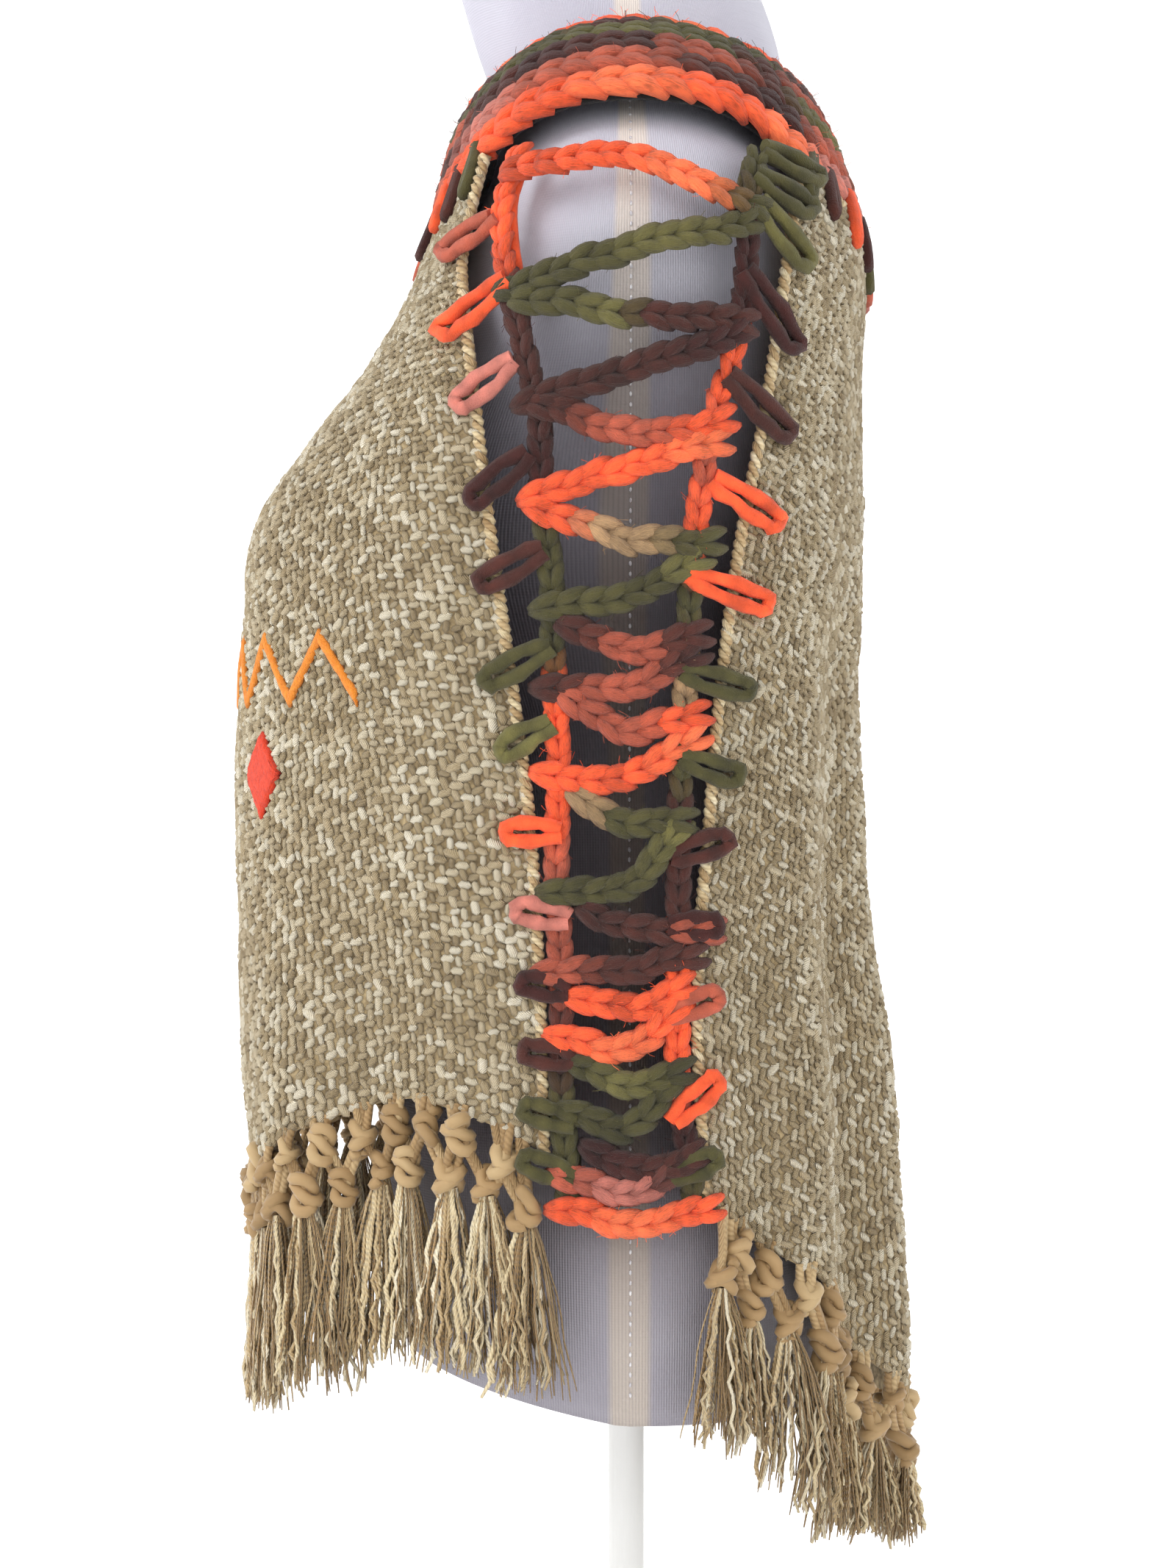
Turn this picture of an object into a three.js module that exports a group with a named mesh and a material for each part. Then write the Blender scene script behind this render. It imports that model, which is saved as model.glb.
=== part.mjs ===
// An Andean poncho on a limbless dress form with a short stand. Two hand-woven panels hang at the front and the
// back. A crocheted yoke joins them round the neck, and a strip of crocheted lace joins them down each side.
// Both hems end in a knotted fringe, and the front carries felted motifs.
// Millimetres, +Z up. The wearer faces -Y, and the wearer's left is +X. The origin is the centre of the base's
// underside. Every cloth piece is a wall on one shared surface, so the pieces meet along the same lines.
import * as THREE from "three";

const SEAM_GAP = 0.3;
const KNOT_GAP = 0.6; // under the sloping woven edges, where the fringe's knots start
const WOVEN_THICKNESS = 3;
const LACE_THICKNESS = 7;
const YOKE_THICKNESS = 8;
const FELT_THICKNESS = 1.2;
const FRINGE_PROUD = 3; // the tassels stand this far out of the cloth's outer face
const FRINGE_THICKNESS = 12;
const CLOTH_MID_Y = 5; // where the cloth is widest, front to back
const CLOTH_SQUARENESS = 2.5; // exponent of the cloth's section: 2 is an ellipse, more is boxier

// The cloth's outer face at each height: its half width, and how far it reaches to the front and the back.
const CLOTH = [
  { z: 30, side: 170, front: -163, back: 124 },
  { z: 150, side: 170, front: -164, back: 124 },
  { z: 225, side: 169, front: -165, back: 123 },
  { z: 310, side: 169, front: -169, back: 117 },
  { z: 387, side: 172, front: -170, back: 107 },
  { z: 464, side: 176, front: -169, back: 104 },
  { z: 500, side: 179, front: -167, back: 106 },
  { z: 543, side: 182, front: -161, back: 107 },
  { z: 578, side: 184, front: -138, back: 108 },
  { z: 610, side: 187, front: -112, back: 108 },
  { z: 640, side: 188, front: -93, back: 109 },
  { z: 662, side: 186, front: -84, back: 108 },
  { z: 680, side: 179, front: -78, back: 103 },
  { z: 696, side: 168, front: -73, back: 94 },
  { z: 712, side: 158, front: -69, back: 87 },
];

// Where the woven panels' side edges run, as Y at each height. The lace fills the space between them.
const SIDE_EDGES = [
  { z: 140, frontY: -28, backY: 34 },
  { z: 265, frontY: -30, backY: 33 },
  { z: 345, frontY: -32, backY: 30 },
  { z: 414, frontY: -36, backY: 35 },
  { z: 462, frontY: -42, backY: 39 },
  { z: 524, frontY: -51, backY: 47 },
  { z: 581, frontY: -58, backY: 58 },
  { z: 640, frontY: -65, backY: 67 },
  { z: 665, frontY: -62, backY: 71 },
  { z: 692, frontY: -56, backY: 76 },
];

// The top and bottom edges of each piece, and the tips of its fringe. A share runs across a panel from the wearer's right edge, -1, to the
// left edge, 1, and across a lace strip from its front edge, 0, to its back edge, 1.
const FRONT_EDGES = [
  { share: -1, top: 691, bottom: 270, tips: 165 },
  { share: -0.86, top: 687, bottom: 291, tips: 182 },
  { share: -0.68, top: 682, bottom: 299, tips: 190 },
  { share: -0.42, top: 675, bottom: 276, tips: 170 },
  { share: 0, top: 670, bottom: 263, tips: 157 },
  { share: 0.38, top: 673, bottom: 272, tips: 163 },
  { share: 0.55, top: 677, bottom: 288, tips: 178 },
  { share: 0.74, top: 683, bottom: 301, tips: 193 },
  { share: 0.88, top: 688, bottom: 295, tips: 187 },
  { share: 1, top: 691, bottom: 281, tips: 173 },
];
const BACK_EDGES = [
  { share: -1, top: 685, bottom: 266, tips: 162 },
  { share: -0.75, top: 679, bottom: 222, tips: 116 },
  { share: -0.45, top: 667, bottom: 177, tips: 94 },
  { share: 0, top: 659, bottom: 168, tips: 90 },
  { share: 0.3, top: 661, bottom: 166, tips: 90 },
  { share: 0.5, top: 667, bottom: 188, tips: 97 },
  { share: 0.64, top: 674, bottom: 217, tips: 112 },
  { share: 0.84, top: 681, bottom: 240, tips: 138 },
  { share: 1, top: 685, bottom: 263, tips: 160 },
];
const LACE_EDGES = [
  { share: 0, top: 686, bottom: 256 },
  { share: 0.25, top: 676, bottom: 252 },
  { share: 0.6, top: 667, bottom: 250 },
  { share: 1, top: 680, bottom: 256 },
];

// Soft folds: a row's depth is how far it pushes the cloth in at the hem, negative for out, and it fades to
// nothing at its start height.
const FRONT_FOLDS = [
  { share: -0.66, spread: 0.13, start: 500, depth: 9 },
  { share: -0.42, spread: 0.12, start: 470, depth: -5 },
  { share: 0.02, spread: 0.2, start: 470, depth: 7 },
  { share: 0.48, spread: 0.12, start: 480, depth: -5 },
  { share: 0.68, spread: 0.11, start: 520, depth: 12 },
];
const BACK_FOLDS = [
  { share: -0.8, spread: 0.1, start: 520, depth: 9 },
  { share: -0.45, spread: 0.14, start: 560, depth: 10 },
  { share: -0.12, spread: 0.12, start: 540, depth: -6 },
  { share: 0.14, spread: 0.11, start: 560, depth: 9 },
  { share: 0.36, spread: 0.1, start: 600, depth: -7 },
  { share: 0.56, spread: 0.1, start: 590, depth: 12 },
  { share: 0.86, spread: 0.07, start: 480, depth: 8 },
];

// The yoke's neck edge, as an ellipse with its height at the sides, the front and the back.
const NECK_EDGE = { side: 97, front: -66, back: 85, sideZ: 752, frontZ: 727, backZ: 733 };
const SHOULDER_ARC = 22; // the yoke's edge arches this far above the lace over each shoulder
const YOKE_BULGE = 8; // how far the yoke's middle stands out of the straight line between its edges

// The dress form at each height.
const FORM = [
  { z: 167, side: 146, front: -96, back: 97 },
  { z: 225, side: 149, front: -102, back: 99 },
  { z: 280, side: 145, front: -102, back: 95 },
  { z: 340, side: 129, front: -97, back: 84 },
  { z: 395, side: 119, front: -94, back: 77 },
  { z: 445, side: 124, front: -103, back: 79 },
  { z: 485, side: 136, front: -130, back: 84 },
  { z: 515, side: 146, front: -150, back: 88 },
  { z: 540, side: 154, front: -149, back: 91 },
  { z: 570, side: 161, front: -130, back: 94 },
  { z: 605, side: 169, front: -101, back: 96 },
  { z: 640, side: 174, front: -80, back: 97 },
  { z: 665, side: 173, front: -70, back: 95 },
  { z: 685, side: 164, front: -61, back: 89 },
  { z: 700, side: 148, front: -56, back: 82 },
  { z: 714, side: 126, front: -53, back: 76 },
  { z: 726, side: 100, front: -51, back: 72 },
  { z: 738, side: 77, front: -54, back: 72 },
  { z: 752, side: 64, front: -60, back: 74 },
  { z: 770, side: 58, front: -66, back: 70 },
  { z: 795, side: 55, front: -73, back: 61 },
  { z: 814, side: 54, front: -77, back: 56 },
  { z: 822, side: 50, front: -74, back: 52 },
  { z: 825, side: 41, front: -64, back: 43 },
];
const FORM_MID_Y = 4;
const FORM_SQUARENESS = 2.25;
const FORM_FRONT_RISE = 0.2; // the form's bottom edge climbs this much for each millimetre forward

const POLE_RADIUS = 8;
const POLE_Y = 4;
const BASE_RADIUS = 140;
const BASE_THICKNESS = 8;
const BASE_CHAMFER = 2;

// Felted motifs on the front panel: a zigzag line, and diamonds under it. Across is along the cloth from the
// centre front.
const ZIGZAG = { across: 168, middleZ: 478, swing: 13, pitch: 42, lineHeight: 6.5 };
const DIAMOND = { halfWidth: 16, halfHeight: 19, z: 434, tip: 0.06 };
const DIAMONDS = [
  { name: "felt_diamond_right", across: -104 },
  { name: "felt_diamond_middle", across: 0 },
  { name: "felt_diamond_left", across: 104 },
];

const mix = (a, b, part) => a + (b - a) * part;
const power = (value, squareness) => Math.sign(value) * Math.abs(value) ** (2 / squareness);
const steps = (count, from = 0, to = 1) => Array.from({ length: count + 1 }, (_, i) => mix(from, to, i / count));

// The value of one column of a table at a key, on a smooth line through its rows.
function follow(table, key, column, at) {
  const last = table.length - 1;
  if (at <= table[0][key]) return table[0][column];
  if (at >= table[last][key]) return table[last][column];
  const i = table.findIndex((row) => row[key] > at) - 1;
  const slope = (k) => {
    const before = table[Math.max(0, k - 1)];
    const after = table[Math.min(last, k + 1)];
    return (after[column] - before[column]) / (after[key] - before[key]);
  };
  const span = table[i + 1][key] - table[i][key];
  const f = (at - table[i][key]) / span;
  const stay = 2 * f ** 3 - 3 * f ** 2 + 1;
  return (
    stay * table[i][column] +
    (1 - stay) * table[i + 1][column] +
    span * (f * (1 - f) ** 2 * slope(i) - f ** 2 * (1 - f) * slope(i + 1))
  );
}

// A point of a body's level section. The turn is 0 at the centre front, a quarter at the left side.
function sectionPoint(table, squareness, midY, turn, z) {
  const angle = turn * 2 * Math.PI;
  const forward = Math.cos(angle);
  const reach = follow(table, "z", forward > 0 ? "front" : "back", z);
  return new THREE.Vector3(
    follow(table, "z", "side", z) * power(Math.sin(angle), squareness),
    midY + (reach - midY) * Math.abs(power(forward, squareness)),
    z,
  );
}

// The turn at which the cloth's left side has a given Y.
function turnAt(z, y) {
  const reach = follow(CLOTH, "z", y < CLOTH_MID_Y ? "front" : "back", z);
  const share = ((y - CLOTH_MID_Y) / (reach - CLOTH_MID_Y)) ** (CLOTH_SQUARENESS / 2);
  const quarter = Math.acos(Math.min(1, share)) / (2 * Math.PI);
  return y < CLOTH_MID_Y ? quarter : 0.5 - quarter;
}

// The point at a share of the way along a stretch of the cloth's section, by length, with its direction.
const STRETCH_STEPS = 120;
function alongStretch(z, fromTurn, toTurn, share) {
  const points = steps(STRETCH_STEPS, fromTurn, toTurn).map((turn) =>
    sectionPoint(CLOTH, CLOTH_SQUARENESS, CLOTH_MID_Y, turn, z),
  );
  const lengths = [0];
  for (let i = 1; i < points.length; i++) lengths.push(lengths[i - 1] + points[i].distanceTo(points[i - 1]));
  const total = lengths[STRETCH_STEPS];
  const at = share * total;
  const i = Math.min(STRETCH_STEPS, Math.max(1, lengths.findIndex((length) => length >= at)));
  const direction = points[i].clone().sub(points[i - 1]).normalize();
  const point = points[i - 1].clone().addScaledVector(direction, at - lengths[i - 1]);
  return { point, direction, total };
}

const foldDepth = (folds, share, z) =>
  folds.reduce((sum, fold) => {
    const fade = THREE.MathUtils.smoothstep(fold.start - z, 0, fold.start - 250);
    return sum + fold.depth * fade * Math.exp(-(((share - fold.share) / fold.spread) ** 2));
  }, 0);

// A point of a woven panel's outer face, at a share across it and a height.
function panelPoint(panel, share, z) {
  const start = panel === "front" ? 0 : 0.5;
  const edgeTurn = turnAt(z, follow(SIDE_EDGES, "z", panel + "Y", z));
  const { point, direction } = alongStretch(z, start, edgeTurn, Math.abs(share));
  const outward = new THREE.Vector3(direction.y, -direction.x, 0);
  if (panel === "back") outward.negate();
  const folds = panel === "front" ? FRONT_FOLDS : BACK_FOLDS;
  const sewn = 1 - THREE.MathUtils.smoothstep(Math.abs(share), 0.9, 1); // a fold dies out where the lace is sewn on
  point.addScaledVector(outward, -sewn * foldDepth(folds, share, z));
  if (share < 0) point.x = -point.x;
  return point;
}

function lacePoint(hand, share, z) {
  const fromTurn = turnAt(z, follow(SIDE_EDGES, "z", "frontY", z));
  const toTurn = turnAt(z, follow(SIDE_EDGES, "z", "backY", z));
  const { point } = alongStretch(z, fromTurn, toTurn, share);
  point.x *= hand;
  return point;
}

// A closed wall on a surface. face(u, v) is a point for u and v from 0 to 1. out(v) and back(v) are how far the
// wall reaches from it along its normal, and level(v) is how far that normal is laid level, from 0 to 1, so that
// walls of different slopes can meet edge to edge. A ring closes on itself in u.
function wall(face, columns, rows, { out = () => 0, back, level = () => 0, ring = false }) {
  const STEP = 1e-3;
  const normalAt = (u, v) => {
    const uSpan = ring ? [u - STEP, u + STEP] : [Math.max(0, u - STEP), Math.min(1, u + STEP)];
    const vSpan = [Math.max(0, v - STEP), Math.min(1, v + STEP)];
    const across = face(uSpan[1], v).sub(face(uSpan[0], v));
    const along = face(u, vSpan[1]).sub(face(u, vSpan[0]));
    const normal = across.cross(along).normalize();
    normal.z *= 1 - level(v);
    return normal.normalize();
  };
  const grid = steps(rows).map((v) =>
    steps(columns)
      .slice(0, ring ? columns : columns + 1)
      .map((u) => ({ point: face(u, v), normal: normalAt(u, v) })),
  );
  const width = grid[0].length;
  const layer = width * (rows + 1);
  const positions = [];
  for (const distance of [out, (v) => -back(v)])
    grid.forEach((row, r) => {
      for (const { point, normal } of row)
        positions.push(...point.clone().addScaledVector(normal, distance(r / rows)).toArray());
    });
  const index = [];
  const quad = (a, b, c, d) => index.push(a, b, c, a, c, d);
  for (let r = 0; r < rows; r++)
    for (let c = 0; c < (ring ? width : width - 1); c++) {
      const next = (c + 1) % width;
      const [a, b, e, f] = [r * width + c, r * width + next, (r + 1) * width + next, (r + 1) * width + c];
      quad(a, b, e, f);
      quad(layer + b, layer + a, layer + f, layer + e);
      if (r === 0) quad(layer + a, layer + b, b, a);
      if (r === rows - 1) quad(e, layer + e, layer + f, f);
      if (!ring && c === 0) quad(a, f, layer + f, layer + a);
      if (!ring && c === width - 2) quad(e, b, layer + b, layer + e);
    }
  return new THREE.BufferGeometry()
    .setAttribute("position", new THREE.Float32BufferAttribute(positions, 3))
    .setIndex(index);
}

// Seen from outside, u runs to the wearer's left on the front panel, so the wall's normal points outwards when
// v runs up. The other pieces keep the same sense.
const PANEL_COLUMNS = 30;
const PANEL_ROWS = 18;
const LACE_COLUMNS = 6;
const FRINGE_ROWS = 3;
const EDGE_TRIM = 0.0012; // share of a panel's width kept clear at its side edges, half of the seam's gap

const levelEnds = (v) => 1 - THREE.MathUtils.smoothstep(Math.min(v, 1 - v), 0, 0.1);

function panelWall(panel) {
  const edges = panel === "front" ? FRONT_EDGES : BACK_EDGES;
  const sense = panel === "front" ? 1 : -1;
  const face = (u, v) => {
    const share = sense * mix(-1 + EDGE_TRIM, 1 - EDGE_TRIM, u);
    const top = follow(edges, "share", "top", share) - SEAM_GAP;
    return panelPoint(panel, share, mix(follow(edges, "share", "bottom", share), top, v));
  };
  return wall(face, PANEL_COLUMNS, PANEL_ROWS, { back: () => WOVEN_THICKNESS, level: levelEnds });
}

function fringeWall(panel) {
  const edges = panel === "front" ? FRONT_EDGES : BACK_EDGES;
  const sense = panel === "front" ? 1 : -1;
  const face = (u, v) => {
    const share = sense * mix(-1 + EDGE_TRIM, 1 - EDGE_TRIM, u);
    const top = follow(edges, "share", "bottom", share) - KNOT_GAP;
    return panelPoint(panel, share, mix(follow(edges, "share", "tips", share), top, v));
  };
  const flare = (v) => 1 - THREE.MathUtils.smoothstep(v, 0.6, 1);
  const out = (v) => FRINGE_PROUD * flare(v);
  const back = (v) => mix(WOVEN_THICKNESS, FRINGE_THICKNESS - FRINGE_PROUD, flare(v));
  return wall(face, PANEL_COLUMNS, FRINGE_ROWS, { out, back, level: levelEnds });
}

function laceWall(hand) {
  const TRIM = 0.012;
  const face = (u, v) => {
    const share = mix(TRIM, 1 - TRIM, hand > 0 ? u : 1 - u);
    const top = follow(LACE_EDGES, "share", "top", share) - SEAM_GAP;
    return lacePoint(hand, share, mix(follow(LACE_EDGES, "share", "bottom", share), top, v));
  };
  return wall(face, LACE_COLUMNS, PANEL_ROWS, { back: () => LACE_THICKNESS, level: levelEnds });
}

// The yoke lies between its neck edge and the line along the tops of the panels and the lace.
function yokeOuterEdge(turn) {
  const hand = turn > 0.5 ? -1 : 1;
  const half = hand > 0 ? turn : 1 - turn;
  const cornerTurn = (edges, side) => {
    const z = follow(edges, "share", "top", 1);
    return turnAt(z, follow(SIDE_EDGES, "z", side, z));
  };
  const frontTurn = cornerTurn(FRONT_EDGES, "frontY");
  const backTurn = cornerTurn(BACK_EDGES, "backY");
  if (half < frontTurn) {
    const share = (hand * half) / frontTurn;
    return panelPoint("front", share, follow(FRONT_EDGES, "share", "top", share));
  }
  if (half > backTurn) {
    const share = (hand * (0.5 - half)) / (0.5 - backTurn);
    return panelPoint("back", share, follow(BACK_EDGES, "share", "top", share));
  }
  const share = (half - frontTurn) / (backTurn - frontTurn);
  const corners = mix(follow(FRONT_EDGES, "share", "top", 1), follow(BACK_EDGES, "share", "top", 1), share);
  return lacePoint(hand, share, corners + SHOULDER_ARC * Math.sin(Math.PI * share));
}

function yokeNeckEdge(turn) {
  const angle = turn * 2 * Math.PI;
  const forward = Math.cos(angle);
  const end = forward > 0 ? "front" : "back";
  return new THREE.Vector3(
    NECK_EDGE.side * Math.sin(angle),
    CLOTH_MID_Y + (NECK_EDGE[end] - CLOTH_MID_Y) * Math.abs(forward),
    mix(NECK_EDGE.sideZ, NECK_EDGE[end + "Z"], forward ** 2),
  );
}

const YOKE_COLUMNS = 64;
const YOKE_ROWS = 5;
function yokeWall() {
  const face = (u, v) => {
    const turn = (u + 1) % 1;
    const point = yokeOuterEdge(turn).lerp(yokeNeckEdge(turn), v);
    point.z += YOKE_BULGE * Math.sin(Math.PI * v);
    return point;
  };
  const level = (v) => 1 - THREE.MathUtils.smoothstep(v, 0, 0.35);
  return wall(face, YOKE_COLUMNS, YOKE_ROWS, { back: () => YOKE_THICKNESS, level, ring: true });
}

// Felt lies just clear of the woven face.
const panelShare = (across, z) => {
  const edgeTurn = turnAt(z, follow(SIDE_EDGES, "z", "frontY", z));
  return across / alongStretch(z, 0, edgeTurn, 0).total;
};
const feltWall = (place, columns, rows) =>
  wall(
    (u, v) => {
      const { across, z } = place(u, v);
      return panelPoint("front", panelShare(across, z), z);
    },
    columns,
    rows,
    { out: () => SEAM_GAP + FELT_THICKNESS, back: () => -SEAM_GAP },
  );

function zigzagWall() {
  const bends = Math.round((2 * ZIGZAG.across) / (ZIGZAG.pitch / 2));
  const PER_LEG = 4;
  const place = (u, v) => {
    const leg = u * bends;
    const tooth = 1 - Math.abs(1 - (leg % 2)) * 2;
    return {
      across: mix(-ZIGZAG.across, ZIGZAG.across, u),
      z: ZIGZAG.middleZ + ZIGZAG.swing * tooth + (v - 0.5) * ZIGZAG.lineHeight,
    };
  };
  return feltWall(place, bends * PER_LEG, 1);
}

function diamondWall(across) {
  const place = (u, v) => {
    const side = 2 * u - 1;
    const height = DIAMOND.halfHeight * Math.max(DIAMOND.tip, 1 - Math.abs(side));
    return { across: across + DIAMOND.halfWidth * side, z: DIAMOND.z + (2 * v - 1) * height };
  };
  return feltWall(place, 8, 4);
}

// The form is one closed skin of rings, with a flat-ish bottom and neck top.
function formGeometry() {
  const AROUND = 48;
  const RINGS = 40;
  const bottomZ = FORM[0].z;
  const topZ = FORM[FORM.length - 1].z;
  const positions = [];
  const ringPoint = (turn, level) => {
    const z = mix(bottomZ, topZ, level);
    const point = sectionPoint(FORM, FORM_SQUARENESS, FORM_MID_Y, turn, z);
    const low = 1 - THREE.MathUtils.smoothstep(z, bottomZ, bottomZ + 90);
    point.z += low * FORM_FRONT_RISE * Math.max(0, -point.y);
    return point;
  };
  for (const level of steps(RINGS)) {
    const eased = mix(level, Math.sin((level * Math.PI) / 2), 0.35); // closer rings at the shoulders
    for (let i = 0; i < AROUND; i++) positions.push(...ringPoint(i / AROUND, eased).toArray());
  }
  const centre = (z) => positions.push(0, FORM_MID_Y, z) / 3 - 1;
  const index = [];
  for (let r = 0; r < RINGS; r++)
    for (let i = 0; i < AROUND; i++) {
      const [a, b] = [r * AROUND + i, r * AROUND + ((i + 1) % AROUND)];
      index.push(a, b, b + AROUND, a, b + AROUND, a + AROUND);
    }
  const bottom = centre(bottomZ);
  const top = centre(topZ);
  for (let i = 0; i < AROUND; i++) {
    const next = (i + 1) % AROUND;
    index.push(bottom, next, i, top, RINGS * AROUND + i, RINGS * AROUND + next);
  }
  return new THREE.BufferGeometry()
    .setAttribute("position", new THREE.Float32BufferAttribute(positions, 3))
    .setIndex(index);
}

const finish = (color, roughness, metalness = 0) => new THREE.MeshStandardMaterial({ color, roughness, metalness });
const WOVEN = finish(0xb5a78c, 0.95);
const FRINGE = finish(0xab9670, 0.9);
const CROCHET = finish(0xa04a38, 0.95);
const ORANGE_FELT = finish(0xe28220, 0.95);
const RED_FELT = finish(0xd5300f, 0.95);
const JERSEY = finish(0xd9d8e2, 0.8);
const PAINTED_STEEL = finish(0xebebe8, 0.4);

const poncho = new THREE.Group();
function add(name, geometry, material) {
  const mesh = new THREE.Mesh(geometry, material);
  mesh.name = name;
  poncho.add(mesh);
  return mesh;
}

add("front_panel", panelWall("front"), WOVEN);
add("back_panel", panelWall("back"), WOVEN);
add("yoke", yokeWall(), CROCHET);
add("lace_left", laceWall(1), CROCHET);
add("lace_right", laceWall(-1), CROCHET);
add("fringe_front", fringeWall("front"), FRINGE);
add("fringe_back", fringeWall("back"), FRINGE);
add("felt_zigzag", zigzagWall(), ORANGE_FELT);
for (const { name, across } of DIAMONDS) add(name, diamondWall(across), RED_FELT);
add("form_torso", formGeometry(), JERSEY);

const poleTop = FORM[0].z - SEAM_GAP;
const poleBottom = BASE_THICKNESS + SEAM_GAP;
const pole = add("stand_pole", new THREE.CylinderGeometry(POLE_RADIUS, POLE_RADIUS, poleTop - poleBottom, 32), PAINTED_STEEL);
pole.rotation.x = Math.PI / 2;
pole.position.set(0, POLE_Y, (poleTop + poleBottom) / 2);

const baseProfile = [
  [0, 0],
  [BASE_RADIUS, 0],
  [BASE_RADIUS, BASE_THICKNESS - BASE_CHAMFER],
  [BASE_RADIUS - BASE_CHAMFER, BASE_THICKNESS],
  [0, BASE_THICKNESS],
].map(([radius, height]) => new THREE.Vector2(radius, height));
const base = add("stand_base", new THREE.LatheGeometry(baseProfile, 64), PAINTED_STEEL);
base.rotation.x = Math.PI / 2;

export default poncho;
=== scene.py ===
import math

import bpy
import numpy as np
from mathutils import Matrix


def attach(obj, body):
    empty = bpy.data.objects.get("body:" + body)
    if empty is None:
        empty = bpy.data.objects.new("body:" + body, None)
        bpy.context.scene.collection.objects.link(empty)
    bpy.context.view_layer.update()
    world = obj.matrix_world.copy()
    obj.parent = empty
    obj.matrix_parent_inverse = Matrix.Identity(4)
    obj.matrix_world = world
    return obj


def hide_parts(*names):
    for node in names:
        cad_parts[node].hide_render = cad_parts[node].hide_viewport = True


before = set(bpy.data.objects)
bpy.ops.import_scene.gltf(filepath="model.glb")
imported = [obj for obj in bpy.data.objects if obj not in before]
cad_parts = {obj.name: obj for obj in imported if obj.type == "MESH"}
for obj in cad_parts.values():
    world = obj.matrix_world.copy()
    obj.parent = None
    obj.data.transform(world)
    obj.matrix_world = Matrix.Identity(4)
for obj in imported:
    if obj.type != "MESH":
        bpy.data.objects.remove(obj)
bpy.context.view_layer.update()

# A hand-woven poncho on a dress form. Sizes are in millimetres until a mesh is made, and +Z is up. The wearer
# faces -Y, and the wearer's left is +X.
MM = 0.001
FULL_TURN = 2 * math.pi
BODY = "root"
chance = np.random.default_rng(11)


# --- Sizes of the cloth, the same as the solids' ---


class Table:
    """Rows of sizes. A column is read anywhere on a smooth line through its rows."""

    def __init__(self, columns, rows):
        names = columns.split()
        self.column = dict(zip(names, np.array(rows, float).T))
        self.keys = self.column[names[0]]

    def at(self, name, where):
        keys, values = self.keys, self.column[name]
        slopes = np.empty_like(values)
        slopes[1:-1] = (values[2:] - values[:-2]) / (keys[2:] - keys[:-2])
        slopes[0] = (values[1] - values[0]) / (keys[1] - keys[0])
        slopes[-1] = (values[-1] - values[-2]) / (keys[-1] - keys[-2])
        where = np.clip(where, keys[0], keys[-1])
        i = np.clip(np.searchsorted(keys, where, side="right") - 1, 0, len(keys) - 2)
        span = keys[i + 1] - keys[i]
        f = (where - keys[i]) / span
        stay = 2 * f**3 - 3 * f**2 + 1
        bend = f * (1 - f) ** 2 * slopes[i] - f**2 * (1 - f) * slopes[i + 1]
        return stay * values[i] + (1 - stay) * values[i + 1] + span * bend


CLOTH_MID_Y = 5
CLOTH_SQUARENESS = 2.5
CLOTH = Table("z side front back", [
    (30, 170, -163, 124),
    (150, 170, -164, 124),
    (225, 169, -165, 123),
    (310, 169, -169, 117),
    (387, 172, -170, 107),
    (464, 176, -169, 104),
    (500, 179, -167, 106),
    (543, 182, -161, 107),
    (578, 184, -138, 108),
    (610, 187, -112, 108),
    (640, 188, -93, 109),
    (662, 186, -84, 108),
    (680, 179, -78, 103),
    (696, 168, -73, 94),
    (712, 158, -69, 87),
])
SIDE_EDGES = Table("z front back", [
    (140, -28, 34),
    (265, -30, 33),
    (345, -32, 30),
    (414, -36, 35),
    (462, -42, 39),
    (524, -51, 47),
    (581, -58, 58),
    (640, -65, 67),
    (665, -62, 71),
    (692, -56, 76),
])
FRONT_EDGES = Table("share top bottom tips", [
    (-1, 691, 270, 165),
    (-0.86, 687, 291, 182),
    (-0.68, 682, 299, 190),
    (-0.42, 675, 276, 170),
    (0, 670, 263, 157),
    (0.38, 673, 272, 163),
    (0.55, 677, 288, 178),
    (0.74, 683, 301, 193),
    (0.88, 688, 295, 187),
    (1, 691, 281, 173),
])
BACK_EDGES = Table("share top bottom tips", [
    (-1, 685, 266, 162),
    (-0.75, 679, 222, 116),
    (-0.45, 667, 177, 94),
    (0, 659, 168, 90),
    (0.3, 661, 166, 90),
    (0.5, 667, 188, 97),
    (0.64, 674, 217, 112),
    (0.84, 681, 240, 138),
    (1, 685, 263, 160),
])
FRONT_FOLDS = [
    {"share": -0.66, "spread": 0.13, "start": 500, "depth": 9},
    {"share": -0.42, "spread": 0.12, "start": 470, "depth": -5},
    {"share": 0.02, "spread": 0.2, "start": 470, "depth": 7},
    {"share": 0.48, "spread": 0.12, "start": 480, "depth": -5},
    {"share": 0.68, "spread": 0.11, "start": 520, "depth": 12},
]
BACK_FOLDS = [
    {"share": -0.8, "spread": 0.1, "start": 520, "depth": 9},
    {"share": -0.45, "spread": 0.14, "start": 560, "depth": 10},
    {"share": -0.12, "spread": 0.12, "start": 540, "depth": -6},
    {"share": 0.14, "spread": 0.11, "start": 560, "depth": 9},
    {"share": 0.36, "spread": 0.1, "start": 600, "depth": -7},
    {"share": 0.56, "spread": 0.1, "start": 590, "depth": 12},
    {"share": 0.86, "spread": 0.07, "start": 480, "depth": 8},
]
FORM_MID_Y = 4
FORM_SQUARENESS = 2.25
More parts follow.
